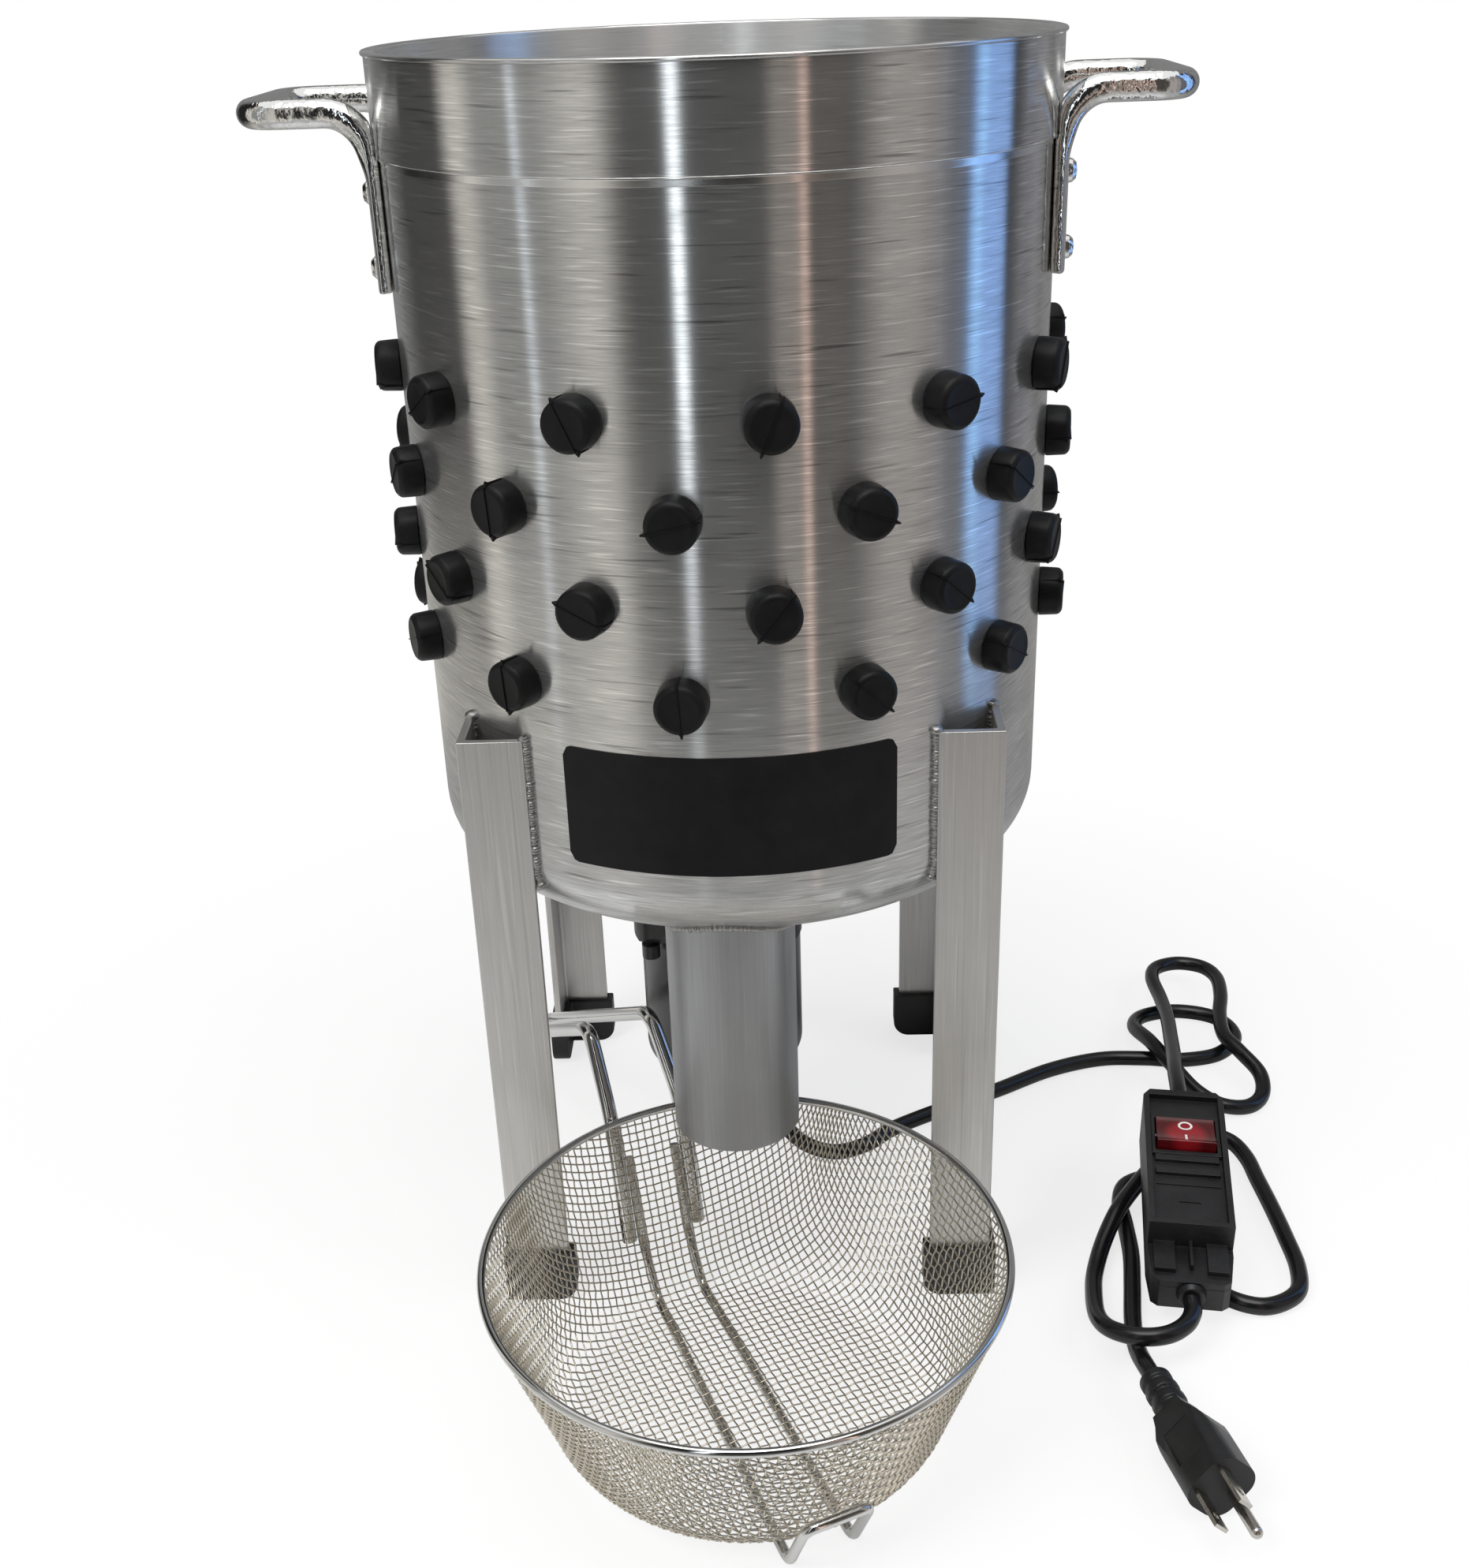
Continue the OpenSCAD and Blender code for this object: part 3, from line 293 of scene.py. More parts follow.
def round_coords(tree):
    """Coordinates unrolled round Z: distance along the drum's wall, and height."""
    turn, height = turn_and_height(tree)
    flat = add_node(tree, "ShaderNodeCombineXYZ", {"X": times(tree, turn, DRUM_R), "Z": height})
    return flat.outputs["Vector"]


def set_bump(tree, shader, height, strength, distance):
    bump = add_node(tree, "ShaderNodeBump", {"Strength": strength, "Distance": distance, "Height": height})
    tree.links.new(bump.outputs["Normal"], shader.inputs["Normal"])


# Shader groups shared by the finishes
def shader_group(name, inputs, outputs):
    """Starts a shader group and gives its tree, its input node and its output node."""
    tree = bpy.data.node_groups.new(name, "ShaderNodeTree")
    for label, kind, default in inputs:
        socket = tree.interface.new_socket(label, in_out="INPUT", socket_type=kind)
        socket.default_value = default
    for label in outputs:
        tree.interface.new_socket(label, in_out="OUTPUT", socket_type="NodeSocketFloat")
    return tree, tree.nodes.new("NodeGroupInput"), tree.nodes.new("NodeGroupOutput")


def fine_lines_group():
    """Drawn lines in metal: fine lines with a slow drift, short bright dashes that are painted glints, and
    dark scratches.
    """
    if "Fine lines" in bpy.data.node_groups:
        return bpy.data.node_groups["Fine lines"]
    tree, start, end = shader_group("Fine lines", (("Vector", "NodeSocketVector", (0, 0, 0)),
                                                   ("Stretch", "NodeSocketVector", (1, 1, 1))),
                                    ("Lines", "Bright", "Dark"))
    point = add_node(tree, "ShaderNodeVectorMath", {0: start.outputs["Vector"],
                                                    1: start.outputs["Stretch"]},
                     operation="MULTIPLY").outputs[0]
    fine = noise(tree, point, 1.0, Detail=3.0, Roughness=0.65)
    drift = noise(tree, point, 0.09, Detail=2.0)
    both = combine(tree, "ADD", times(tree, fine, 0.7), times(tree, drift, 0.3))
    tree.links.new(both, end.inputs["Lines"])
    # The bright dashes are painted glints; the dark dashes are scratches.
    for label, scale, shift, low, high in (("Bright", 0.72, 31.0, 0.60, 0.72),
                                           ("Dark", 0.5, 77.0, 0.63, 0.74)):
        moved = add_node(tree, "ShaderNodeVectorMath", {0: point, 1: (shift, 0.0, shift)}, operation="ADD")
        dashes = noise(tree, moved.outputs[0], scale, Detail=1.0)
        tree.links.new(spread(tree, dashes, low, high, 0.0, 1.0), end.inputs[label])
    return tree


def marks_group():
    """Handling marks: soft smudges and small specks."""
    if "Handling marks" in bpy.data.node_groups:
        return bpy.data.node_groups["Handling marks"]
    tree, start, end = shader_group("Handling marks", (("Vector", "NodeSocketVector", (0, 0, 0)),
                                                       ("Smudge scale", "NodeSocketFloat", 20.0),
                                                       ("Speck scale", "NodeSocketFloat", 900.0)),
                                    ("Smudge", "Specks"))
    point = start.outputs["Vector"]
    smudge = noise(tree, point, start.outputs["Smudge scale"], Detail=4.0, Roughness=0.6)
    speck = noise(tree, point, start.outputs["Speck scale"], Detail=2.0)
    tree.links.new(spread(tree, smudge, 0.35, 0.7, 0.0, 1.0), end.inputs["Smudge"])
    tree.links.new(spread(tree, speck, 0.62, 0.72, 0.0, 1.0), end.inputs["Specks"])
    return tree


def grain_group():
    """Moulded grain: a fine pebbled height and a slow mottle."""
    if "Moulded grain" in bpy.data.node_groups:
        return bpy.data.node_groups["Moulded grain"]
    tree, start, end = shader_group("Moulded grain", (("Vector", "NodeSocketVector", (0, 0, 0)),
                                                      ("Grain scale", "NodeSocketFloat", 1500.0)),
                                    ("Height", "Mottle"))
    point = start.outputs["Vector"]
    pebbles = add_node(tree, "ShaderNodeTexVoronoi", {"Vector": point,
                                                      "Scale": start.outputs["Grain scale"]})
    tree.links.new(pebbles.outputs[0], end.inputs["Height"])
    tree.links.new(noise(tree, point, 55.0, Detail=5.0, Roughness=0.65), end.inputs["Mottle"])
    return tree


def place_group(tree, group, **values):
    """Places a shader group in a material; each value goes to the input of its name."""
    node = add_node(tree, "ShaderNodeGroup", node_tree=group)
    fill(tree, node, {key.replace("_", " "): value for key, value in values.items()})
    return node


# Finishes
def brushed_metal(name, colour, stretch, roughness, contrast, metallic=1.0, wraps=False):
    """Metal with drawn lines in the direction that the stretch leaves long, or wrapped round the drum."""
    material, tree, shader = new_material(name)
    point = round_coords(tree) if wraps else object_coords(tree)
    lines = place_group(tree, fine_lines_group(), Vector=point, Stretch=stretch)
    marks = place_group(tree, marks_group(), Vector=object_coords(tree), Smudge_scale=16.0,
                        Speck_scale=1400.0)
    tone = blend_colour(tree, spread(tree, lines.outputs["Lines"], 0.3, 0.7, 0.0, 1.0),
                        rgba(colour, 1.0 - contrast), rgba(colour, 1.0 + contrast))
    tone = blend_colour(tree, times(tree, marks.outputs["Smudge"], 0.35), tone, rgba(colour, 0.86))
    # Bright dashes lighten the colour as painted glints; dark dashes darken it as scratches.
    for label, gain in (("Bright", 1.0 + 2.2 * contrast), ("Dark", 1.0 - 2.4 * contrast)):
        tone = blend_colour(tree, times(tree, lines.outputs[label], 0.75), tone, rgba(colour, gain))
    rough = spread(tree, lines.outputs["Lines"], 0.3, 0.7, roughness * 1.15, roughness * 0.88)
    rough = combine(tree, "ADD", rough, times(tree, marks.outputs["Smudge"], roughness * 0.25))
    fill(tree, shader, {"Base Color": tone, "Roughness": rough, "Metallic": metallic})
    set_bump(tree, shader, lines.outputs["Lines"], 0.07, 0.00005)
    if wraps:
        around = add_node(tree, "ShaderNodeTangent", direction_type="RADIAL", axis="Z")
        fill(tree, shader, {"Anisotropic": 0.98, "Anisotropic Rotation": 0.25,
                            "Tangent": around.outputs["Tangent"]})
    return material


def drum_finish():
    """Aluminium brushed round the drum, so lights draw out into upright streaks."""
    return brushed_metal("drum_brushed_round", colours().drum, stretch=(58.0, 1.0, 1500.0), roughness=0.18,
                         contrast=0.26, metallic=0.94, wraps=True)


def inside_finish():
    """The drum's inside, a little brighter than its outside: a rougher copy of the drum's finish whose
    lighter colour is painted light falling inside.
    """
    return brushed_metal("drum_inside_turned", (0.90, 0.90, 0.89), stretch=(58.0, 1.0, 1500.0),
                         roughness=0.30, contrast=0.10, metallic=0.93, wraps=True)


def leg_finish():
    return brushed_metal("leg_brushed_along", colours().legs, stretch=(1400.0, 1400.0, 22.0), roughness=0.38,
                         contrast=0.08, metallic=0.9)


def spout_finish():
    return brushed_metal("spout_drawn_tube", colours().spout, stretch=(1200.0, 1200.0, 16.0), roughness=0.36,
                         contrast=0.05)


def plate_finish():
    return brushed_metal("plate_turned", colours().drum, stretch=(700.0, 700.0, 700.0), roughness=0.34,
                         contrast=0.06)


def bright_metal(name, colour, roughness, speck, pits=0.0, waves=0.0):
    """Polished metal with faint smears, and small pits or a wavy skin."""
    material, tree, shader = new_material(name)
    point = object_coords(tree)
    marks = place_group(tree, marks_group(), Vector=point, Smudge_scale=38.0, Speck_scale=1100.0)
    tone = blend_colour(tree, times(tree, marks.outputs["Specks"], speck), rgba(colour), rgba(colour, 0.55))
    tone = blend_colour(tree, times(tree, marks.outputs["Smudge"], 0.3), tone, rgba(colour, 0.88))
    rough = spread(tree, marks.outputs["Smudge"], 0.0, 1.0, roughness * 0.75, roughness * 1.4)
    fill(tree, shader, {"Base Color": tone, "Roughness": rough, "Metallic": 1.0})
    if waves:
        set_bump(tree, shader, noise(tree, point, 330.0, Detail=2.0), waves, 0.0006)
    else:
        set_bump(tree, shader, marks.outputs["Specks"], pits, 0.0001)
    return material


def band_finish():
    return bright_metal("drum_band_edge", (0.86, 0.86, 0.85), roughness=0.17, speck=0.1, pits=0.05)


def casting_finish():
    """Polished casting with a wavy skin that breaks up what it shows."""
    return bright_metal("handle_polished_casting", colours().casting, roughness=0.075, speck=0.25, waves=0.5)


def chrome_finish():
    return bright_metal("basket_bright_rod", (0.74, 0.74, 0.73), roughness=0.07, speck=0.15, pits=0.05)


def mesh_finish():
    return bright_metal("basket_woven_wire", colours().mesh, roughness=0.2, speck=0.2, pits=0.05)


def steel_finish():
    return bright_metal("bare_zinc_steel", (0.60, 0.60, 0.58), roughness=0.28, speck=0.3, pits=0.1)


def pin_finish():
    return bright_metal("plug_nickel_pins", (0.70, 0.67, 0.62), roughness=0.20, speck=0.4, pits=0.1)


def weld_finish():
    return bright_metal("weld_bead_grey", (0.52, 0.52, 0.51), roughness=0.34, speck=0.6, pits=0.4)


def moulded(name, colour, roughness, grain, bump, dust, **gloss):
    """Moulded rubber or plastic: fine grain, slow mottle and pale dust; gloss fills more of its inputs."""
    material, tree, shader = new_material(name)
    point = object_coords(tree)
    skin = place_group(tree, grain_group(), Vector=point, Grain_scale=grain)
    marks = place_group(tree, marks_group(), Vector=point, Smudge_scale=60.0, Speck_scale=2200.0)
    tone = blend_colour(tree, spread(tree, skin.outputs["Mottle"], 0.3, 0.7, 0.0, 1.0), rgba(colour, 0.75),
                        rgba(colour, 1.35))
    dusty = combine(tree, "MAXIMUM", marks.outputs["Specks"], times(tree, marks.outputs["Smudge"], 0.4))
    tone = blend_colour(tree, times(tree, dusty, dust), tone, rgba((0.20, 0.20, 0.20)))
    rough = spread(tree, skin.outputs["Mottle"], 0.3, 0.7, roughness * 0.88, roughness * 1.12)
    fill(tree, shader, {"Base Color": tone, "Roughness": rough})
    fill(tree, shader, {key.replace("_", " "): value for key, value in gloss.items()})
    set_bump(tree, shader, skin.outputs["Height"], bump, 0.00012)
    return material


def rubber_finish():
    return moulded("finger_matt_rubber", colours().rubber, roughness=0.40, grain=1300.0, bump=0.16, dust=0.03,
                   Specular_IOR_Level=0.2)


def foot_finish():
    return moulded("foot_black_cap", colours().rubber, roughness=0.42, grain=1700.0, bump=0.2, dust=0.10)


def cord_finish():
    return moulded("cord_smooth_sheath", (0.005, 0.005, 0.0056), roughness=0.22, grain=2600.0, bump=0.04,
                   dust=0.02)


def plug_finish():
    return moulded("plug_black_moulding", colours().plastic, roughness=0.38, grain=1900.0, bump=0.14,
                   dust=0.07)


def box_finish():
    return moulded("switch_box_grained", colours().plastic, roughness=0.42, grain=1500.0, bump=0.3, dust=0.09)


def drive_finish():
    return moulded("drive_black_paint", (0.02, 0.02, 0.021), roughness=0.34, grain=900.0, bump=0.2, dust=0.12,
                   Coat_Weight=0.3, Coat_Roughness=0.25)


def label_finish():
    return moulded("label_black_satin", (0.005, 0.005, 0.006), roughness=0.36, grain=2600.0, bump=0.03,
                   dust=0.02, Specular_IOR_Level=0.18)


def rocker_finish():
    """Clear red moulding, darker away from a spot near its middle and in soft random patches."""
    material, tree, shader = new_material("rocker_clear_red")
    point = object_coords(tree)
    marks = place_group(tree, marks_group(), Vector=point, Smudge_scale=95.0, Speck_scale=1500.0)
    middle = ROCKER_FRAME @ Vector((0.0, -0.002, 0.004))
    away = add_node(tree, "ShaderNodeVectorMath", {0: point, 1: middle}, operation="DISTANCE")
    # Darker with distance from a spot near the middle, and in soft patches.
    darker_off_middle = combine(tree, "MAXIMUM", spread(tree, away.outputs["Value"], 0.0055, 0.0105, 0.0, 1.0),
                    times(tree, marks.outputs["Smudge"], 0.5))
    tone = blend_colour(tree, darker_off_middle, rgba(colours().rocker), rgba(colours().rocker, 0.22))
    rough = spread(tree, marks.outputs["Smudge"], 0.0, 1.0, 0.10, 0.24)
    fill(tree, shader, {"Base Color": tone, "Roughness": rough, "Coat Weight": 0.6, "Coat Roughness": 0.08})
    return material


def mark_finish():
    """White paint in the rocker's marks."""
    material, tree, shader = new_material("rocker_white_marks")
    grain = place_group(tree, grain_group(), Vector=object_coords(tree), Grain_scale=2500.0)
    tone = blend_colour(tree, grain.outputs["Mottle"], rgba((0.62, 0.60, 0.58)), rgba((0.82, 0.81, 0.80)))
    fill(tree, shader, {"Base Color": tone, "Roughness": 0.45})
    return material


def finish_of(make):
    """Builds a finish once and gives it again afterwards."""
    key = make.__name__
    kept = dict(bpy.context.scene.get("plucker_finishes", {}))
    if key not in kept:
        kept[key] = make().name
        bpy.context.scene["plucker_finishes"] = kept
    return bpy.data.materials[kept[key]]


# Piece helpers
def add_piece(name, mesh, finish, body, slot, *nodes):
    """Puts a mesh into the scene as a piece of the object; a mesh that has its finish needs none."""
    piece = bpy.data.objects.new(name, mesh)
    bpy.context.scene.collection.objects.link(piece)
    if finish is not None:
        mesh.materials.clear()
        mesh.materials.append(finish_of(finish))
    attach(piece, body)
    if nodes:
        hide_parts(*nodes)
    return piece


def finish_nodes(finish, *nodes):
    """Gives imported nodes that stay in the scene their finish."""
    for node in nodes:
        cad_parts[node].material_slots[0].material = finish_of(finish)


def mesh_from(name, verts, faces, edges=(), sharp=None):
    """A smooth mesh, with its edges kept sharp past an angle in degrees where one is given."""
    mesh = bpy.data.meshes.new(name)
    mesh.from_pydata([tuple(v) for v in verts], list(edges), faces)
    mesh.update()
    if faces:
        mesh.polygons.foreach_set("use_smooth", [True] * len(mesh.polygons))
    if sharp is not None:
        mesh.set_sharp_from_angle(angle=math.radians(sharp))
    return mesh


def turns(count):
    """Angles of equal steps round a circle."""
    return [2 * math.pi * k / count for k in range(count)]


def neighbours(count):
    """Each place in a ring with the next one."""
    return [(k, (k + 1) % count) for k in range(count)]


def quadratic(first, corner, last, f):
    """A point on the curve that leaves and ends along the two sides of a corner."""
    return (1 - f) ** 2 * first + 2 * f * (1 - f) * corner + f ** 2 * last


def lathe(profile, count):
    """Turns a radius and height profile round Z; ends at zero radius become poles."""
    verts, faces, rings = [], [], []
    for radius, height in profile:
        if radius < 1e-7:
            rings.append([len(verts)])
            verts.append((0.0, 0.0, height))
        else:
            rings.append(list(range(len(verts), len(verts) + count)))
            verts += [(radius * math.cos(a), radius * math.sin(a), height) for a in turns(count)]
    for low, high in zip(rings, rings[1:]):
        for k, n in neighbours(count):
            if len(low) == 1:
                faces.append((low[0], high[n], high[k]))
            elif len(high) == 1:
                faces.append((low[k], low[n], high[0]))
            else:
                faces.append((low[k], low[n], high[n], high[k]))
    return verts, faces


def ring_lathe(section, count):
    """Turns a closed section round Z, clear of the axis."""
    size = len(section)
    verts = [(r * math.cos(a), r * math.sin(a), z) for a in turns(count) for r, z in section]
    faces = [(k * size + i, n * size + i, n * size + j, k * size + j)
             for k, n in neighbours(count) for i, j in neighbours(size)]
    return verts, faces


def box_solid(low, high):
    """Corner points and outward faces of a plain block, used inside larger pieces."""
    verts = [(x, y, z) for z in (low[2], high[2]) for y in (low[1], high[1]) for x in (low[0], high[0])]
    faces = [(0, 2, 3, 1), (4, 5, 7, 6), (0, 1, 5, 4), (2, 6, 7, 3), (0, 4, 6, 2), (1, 3, 7, 5)]
    return verts, faces


def joined(parts):
    """Adds up several point and face lists."""
    verts, faces = [], []
    for points, polygons in parts:
        base = len(verts)
        verts.extend(points)
        faces.extend(tuple(i + base for i in polygon) for polygon in polygons)
    return verts, faces


def tube(path, radius, count):
    """A round tube along points, with closed ends."""
    points = [Vector(p) for p in path]
    verts, faces = [], []
    side = None
    last = len(points) - 1
    for i, point in enumerate(points):
        along = (points[min(i + 1, last)] - points[max(i - 1, 0)]).normalized()
        if side is None:
            side = along.cross(Vector((0, 0, 1)) if abs(along.z) < 0.8 else Vector((1, 0, 0)))
        side = (side - along * side.dot(along)).normalized()
        other = along.cross(side)
        verts += [point + radius * (math.cos(a) * side + math.sin(a) * other) for a in turns(count)]
    for base in range(0, last * count, count):
        faces += [(base + k, base + n, base + count + n, base + count + k) for k, n in neighbours(count)]
    faces.append(tuple(reversed(range(count))))
    faces.append(tuple(range(last * count, last * count + count)))
    return verts, faces


def smooth_line(points, steps):
    """A curve through the points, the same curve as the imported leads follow."""
    route = [Vector(p) for p in points]
    line = []
    last = len(route) - 1
    for i in range(last):
        a, b, c, d = route[max(i - 1, 0)], route[i], route[i + 1], route[min(i + 2, last)]
        for k in range(steps):
            f = k / steps
            line.append(0.5 * (2 * b + (c - a) * f + (2 * a - 5 * b + 4 * c - d) * f ** 2
                               + (3 * b - a - 3 * c + d) * f ** 3))
    line.append(route[-1])
    return line


def bent_line(corners, round_over, steps):
    """A rod's centre line with each corner rounded over a set distance."""
    points = [Vector(p) for p in corners]
    line = [points[0]]
    for before, corner, after in zip(points, points[1:], points[2:]):
        first = corner + round_over * (before - corner).normalized()
        last = corner + round_over * (after - corner).normalized()
        line += [quadratic(first, corner, last, k / steps) for k in range(steps + 1)]
    line.append(points[-1])
    return line


def line_mesh(name, lines, closed=False):
    """Chains of edges, one for each line of points."""
    verts, edges = [], []
    for line in lines:
        base = len(verts)
        verts.extend(line)
        edges.extend((base + i, base + i + 1) for i in range(len(line) - 1))
        if closed:
            edges.append((base + len(line) - 1, base))
    return mesh_from(name, verts, [], edges)


def outward_faces(mesh):
    """Turns every face of a closed mesh outwards."""
    work = bmesh.new()
    work.from_mesh(mesh)
    bmesh.ops.recalc_face_normals(work, faces=work.faces)
    work.to_mesh(mesh)
    work.free()


def evaluated_mesh(name, mesh, add_modifiers):
    """Runs modifiers on a mesh and keeps the result as a plain mesh."""
    holder = bpy.data.objects.new(name + "_work", mesh)
    bpy.context.scene.collection.objects.link(holder)
    add_modifiers(holder)
    depsgraph = bpy.context.evaluated_depsgraph_get()
    result = bpy.data.meshes.new_from_object(holder.evaluated_get(depsgraph), depsgraph=depsgraph)
    result.name = name
    holder.modifiers.clear()
    bpy.data.objects.remove(holder)
    return result


def node_work(node):
    """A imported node's loose triangles in a work mesh, joined along their edges."""
    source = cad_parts[node]
    work = bmesh.new()
    work.from_mesh(source.data)
    work.transform(source.matrix_world)
    bmesh.ops.remove_doubles(work, verts=work.verts, dist=2e-6)
    return work


def mesh_of_work(name, work):
    """Ends a work mesh as a smooth mesh without the normals that it was packed with."""
    mesh = bpy.data.meshes.new(name)
    work.to_mesh(mesh)
    work.free()
    if "custom_normal" in mesh.attributes:
        mesh.attributes.remove(mesh.attributes["custom_normal"])
    mesh.polygons.foreach_set("use_smooth", [True] * len(mesh.polygons))
    return mesh


def merged_copy(node):
    """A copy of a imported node's mesh with its triangles joined and flat faces made whole."""
    work = node_work(node)
    bmesh.ops.dissolve_limit(work, angle_limit=math.radians(0.4), verts=work.verts, edges=work.edges)
    return mesh_of_work(node + "_joined", work)


def rounded_mesh(name, mesh, width, segments):
    """A mesh with its sharp edges rounded."""
    def round_edges(holder):
        bevel = holder.modifiers.new("Round edges", "BEVEL")
        bevel.width = width
        bevel.segments = segments
        bevel.limit_method = "ANGLE"
        bevel.angle_limit = math.radians(28)
        bevel.harden_normals = True
    return evaluated_mesh(name, mesh, round_edges)


def soften_node(node, ending, width, finish, slot, segments=2):
    """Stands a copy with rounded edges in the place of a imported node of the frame."""
    mesh = rounded_mesh(node + ending, merged_copy(node), width, segments)
    add_piece(node + ending, mesh, finish, "frame", slot, node)


# Geometry node trees
def geometry_tree(name, inputs):
    """Starts a geometry tree and gives it with its input and output nodes."""
    tree = bpy.data.node_groups.new(name, "GeometryNodeTree")
    tree.interface.new_socket("Geometry", in_out="INPUT", socket_type="NodeSocketGeometry")
    for label, kind in inputs:
        tree.interface.new_socket(label, in_out="INPUT", socket_type=kind)
    tree.interface.new_socket("Geometry", in_out="OUTPUT", socket_type="NodeSocketGeometry")
    return tree, tree.nodes.new("NodeGroupInput"), tree.nodes.new("NodeGroupOutput")


def end_tree(tree, start, end, geometry):
    """Ends a tree with Realize Instances and Set Material."""
    real = add_node(tree, "GeometryNodeRealizeInstances", {"Geometry": geometry})
    paint = add_node(tree, "GeometryNodeSetMaterial", {"Geometry": real.outputs["Geometry"],
                                                       "Material": start.outputs["Finish"]})
    tree.links.new(paint.outputs["Geometry"], end.inputs["Geometry"])


def wire_tree():
    """Round wire along every edge chain of a mesh."""
    if "Drawn wire" in bpy.data.node_groups:
        return bpy.data.node_groups["Drawn wire"]
    tree, start, end = geometry_tree("Drawn wire", (("Wire radius", "NodeSocketFloat"),
                                                    ("Sides", "NodeSocketInt"),
                                                    ("Finish", "NodeSocketMaterial")))
    curve = add_node(tree, "GeometryNodeMeshToCurve", {"Mesh": start.outputs["Geometry"]})
    ring = add_node(tree, "GeometryNodeCurvePrimitiveCircle", {"Resolution": start.outputs["Sides"],
                                                               "Radius": start.outputs["Wire radius"]})
    sweep = add_node(tree, "GeometryNodeCurveToMesh", {"Curve": curve.outputs["Curve"],
                                                       "Profile Curve": ring.outputs["Curve"],
                                                       "Fill Caps": True})
    smooth = add_node(tree, "GeometryNodeSetShadeSmooth", {"Geometry": sweep.outputs["Mesh"]})
    end_tree(tree, start, end, smooth.outputs["Geometry"])
    return tree


def seat_tree():
    """One moulded shape on each seat point, along the seat's axis and turned about it by chance."""
    if "Seated shapes" in bpy.data.node_groups:
        return bpy.data.node_groups["Seated shapes"]
    tree, start, end = geometry_tree("Seated shapes", (("Shape", "NodeSocketObject"),
                                                       ("Turn", "NodeSocketFloat"),
                                                       ("Seed", "NodeSocketInt"),
                                                       ("Finish", "NodeSocketMaterial")))
    shape = add_node(tree, "GeometryNodeObjectInfo", {"Object": start.outputs["Shape"]})
    axis = add_node(tree, "GeometryNodeInputNamedAttribute", {"Name": "axis"}, data_type="FLOAT_VECTOR")
    aim = add_node(tree, "FunctionNodeAlignRotationToVector", {"Vector": axis.outputs[0]}, axis="Z")
    chance = add_node(tree, "FunctionNodeRandomValue", {"Seed": start.outputs["Seed"]}, data_type="FLOAT")
    tree.links.new(start.outputs["Turn"], chance.inputs[3])
    spin = add_node(tree, "FunctionNodeAxisAngleToRotation", {"Axis": (0.0, 0.0, 1.0),
                                                              "Angle": chance.outputs[1]})
    turned = add_node(tree, "FunctionNodeRotateRotation", {"Rotation": aim.outputs["Rotation"],
                                                           "Rotate By": spin.outputs["Rotation"]},
                      rotation_space="LOCAL")
    size = add_node(tree, "GeometryNodeInputNamedAttribute", {"Name": "size"}, data_type="FLOAT")
    copies = add_node(tree, "GeometryNodeInstanceOnPoints", {"Points": start.outputs["Geometry"],
                                                             "Instance": shape.outputs["Geometry"],
                                                             "Rotation": turned.outputs["Rotation"],
                                                             "Scale": size.outputs[0]})
    end_tree(tree, start, end, copies.outputs["Instances"])
    return tree


def run_tree(name, tree, mesh, **values):
    """Runs a geometry tree on a mesh; each value goes to the input of its name."""
    def add_tree(holder):
        modifier = holder.modifiers.new("Shape", "NODES")
        modifier.node_group = tree
        for item in tree.interface.items_tree:
            key = item.name.replace(" ", "_")
            if item.in_out == "INPUT" and key in values:
                modifier[item.identifier] = values[key]
    return evaluated_mesh(name, mesh, add_tree)


def seats_mesh(name, seats):
    """Points with an axis and a size each, for the seat tree."""
    mesh = mesh_from(name, [point for point, _, _ in seats], [])
    axes = mesh.attributes.new("axis", "FLOAT_VECTOR", "POINT")
    axes.data.foreach_set("vector", [v for _, axis, _ in seats for v in axis])
    scale = mesh.attributes.new("size", "FLOAT", "POINT")
    scale.data.foreach_set("value", [size for _, _, size in seats])
    return mesh


def seated(name, shape_mesh, seats, seed, finish):
    """Runs the seat tree with one shape and gives the mesh of all its copies."""
    shape = bpy.data.objects.new(name + "_pattern", shape_mesh)
    mesh = run_tree(name, seat_tree(), seats_mesh(name + "_seats", seats), Shape=shape, Turn=2 * math.pi,
                    Seed=seed, Finish=finish_of(finish))
    bpy.data.objects.remove(shape)
    return mesh


# Shapes of the pieces
def finger_outline(span):
    """Radius and height of a finger from its head's middle to its tip, in millimetres."""
    shoulder = -span - 4.0
    outline = [(0.0, 9.45), (4.0, 9.45), (7.1, 9.5), (7.5, 9.6), (7.9, 9.5), (8.8, 8.9), (9.4, 8.1),
               (9.6, 7.2), (9.72, 5.0), (9.92, 0.8), (9.75, 0.12), (9.4, 0.05), (7.8, 0.05), (7.8, -span),
               (9.6, -span), (9.95, -span - 0.5), (9.9, shoulder + 0.6), (9.5, shoulder)]
    ribs, run, thick, thin = 8, 51.0, 8.7, 6.2
    rib = ((0.04, 1.1), (0.10, 0.25), (0.2, 0.0), (0.42, 0.0), (0.52, 0.25), (0.6, 1.0), (0.78, 1.1),
           (0.94, 1.1))
    for i in range(ribs):
        r = thick + (thin - thick) * i / ribs
        outline += [(r - cut, shoulder - (i + f) * (run / ribs)) for f, cut in rib]
    tip = shoulder - run
    return outline + [(6.1, tip - 0.3), (5.5, tip - 1.8), (4.2, tip - 2.8), (2.0, tip - 3.0),
                      (0.0, tip - 3.0)]


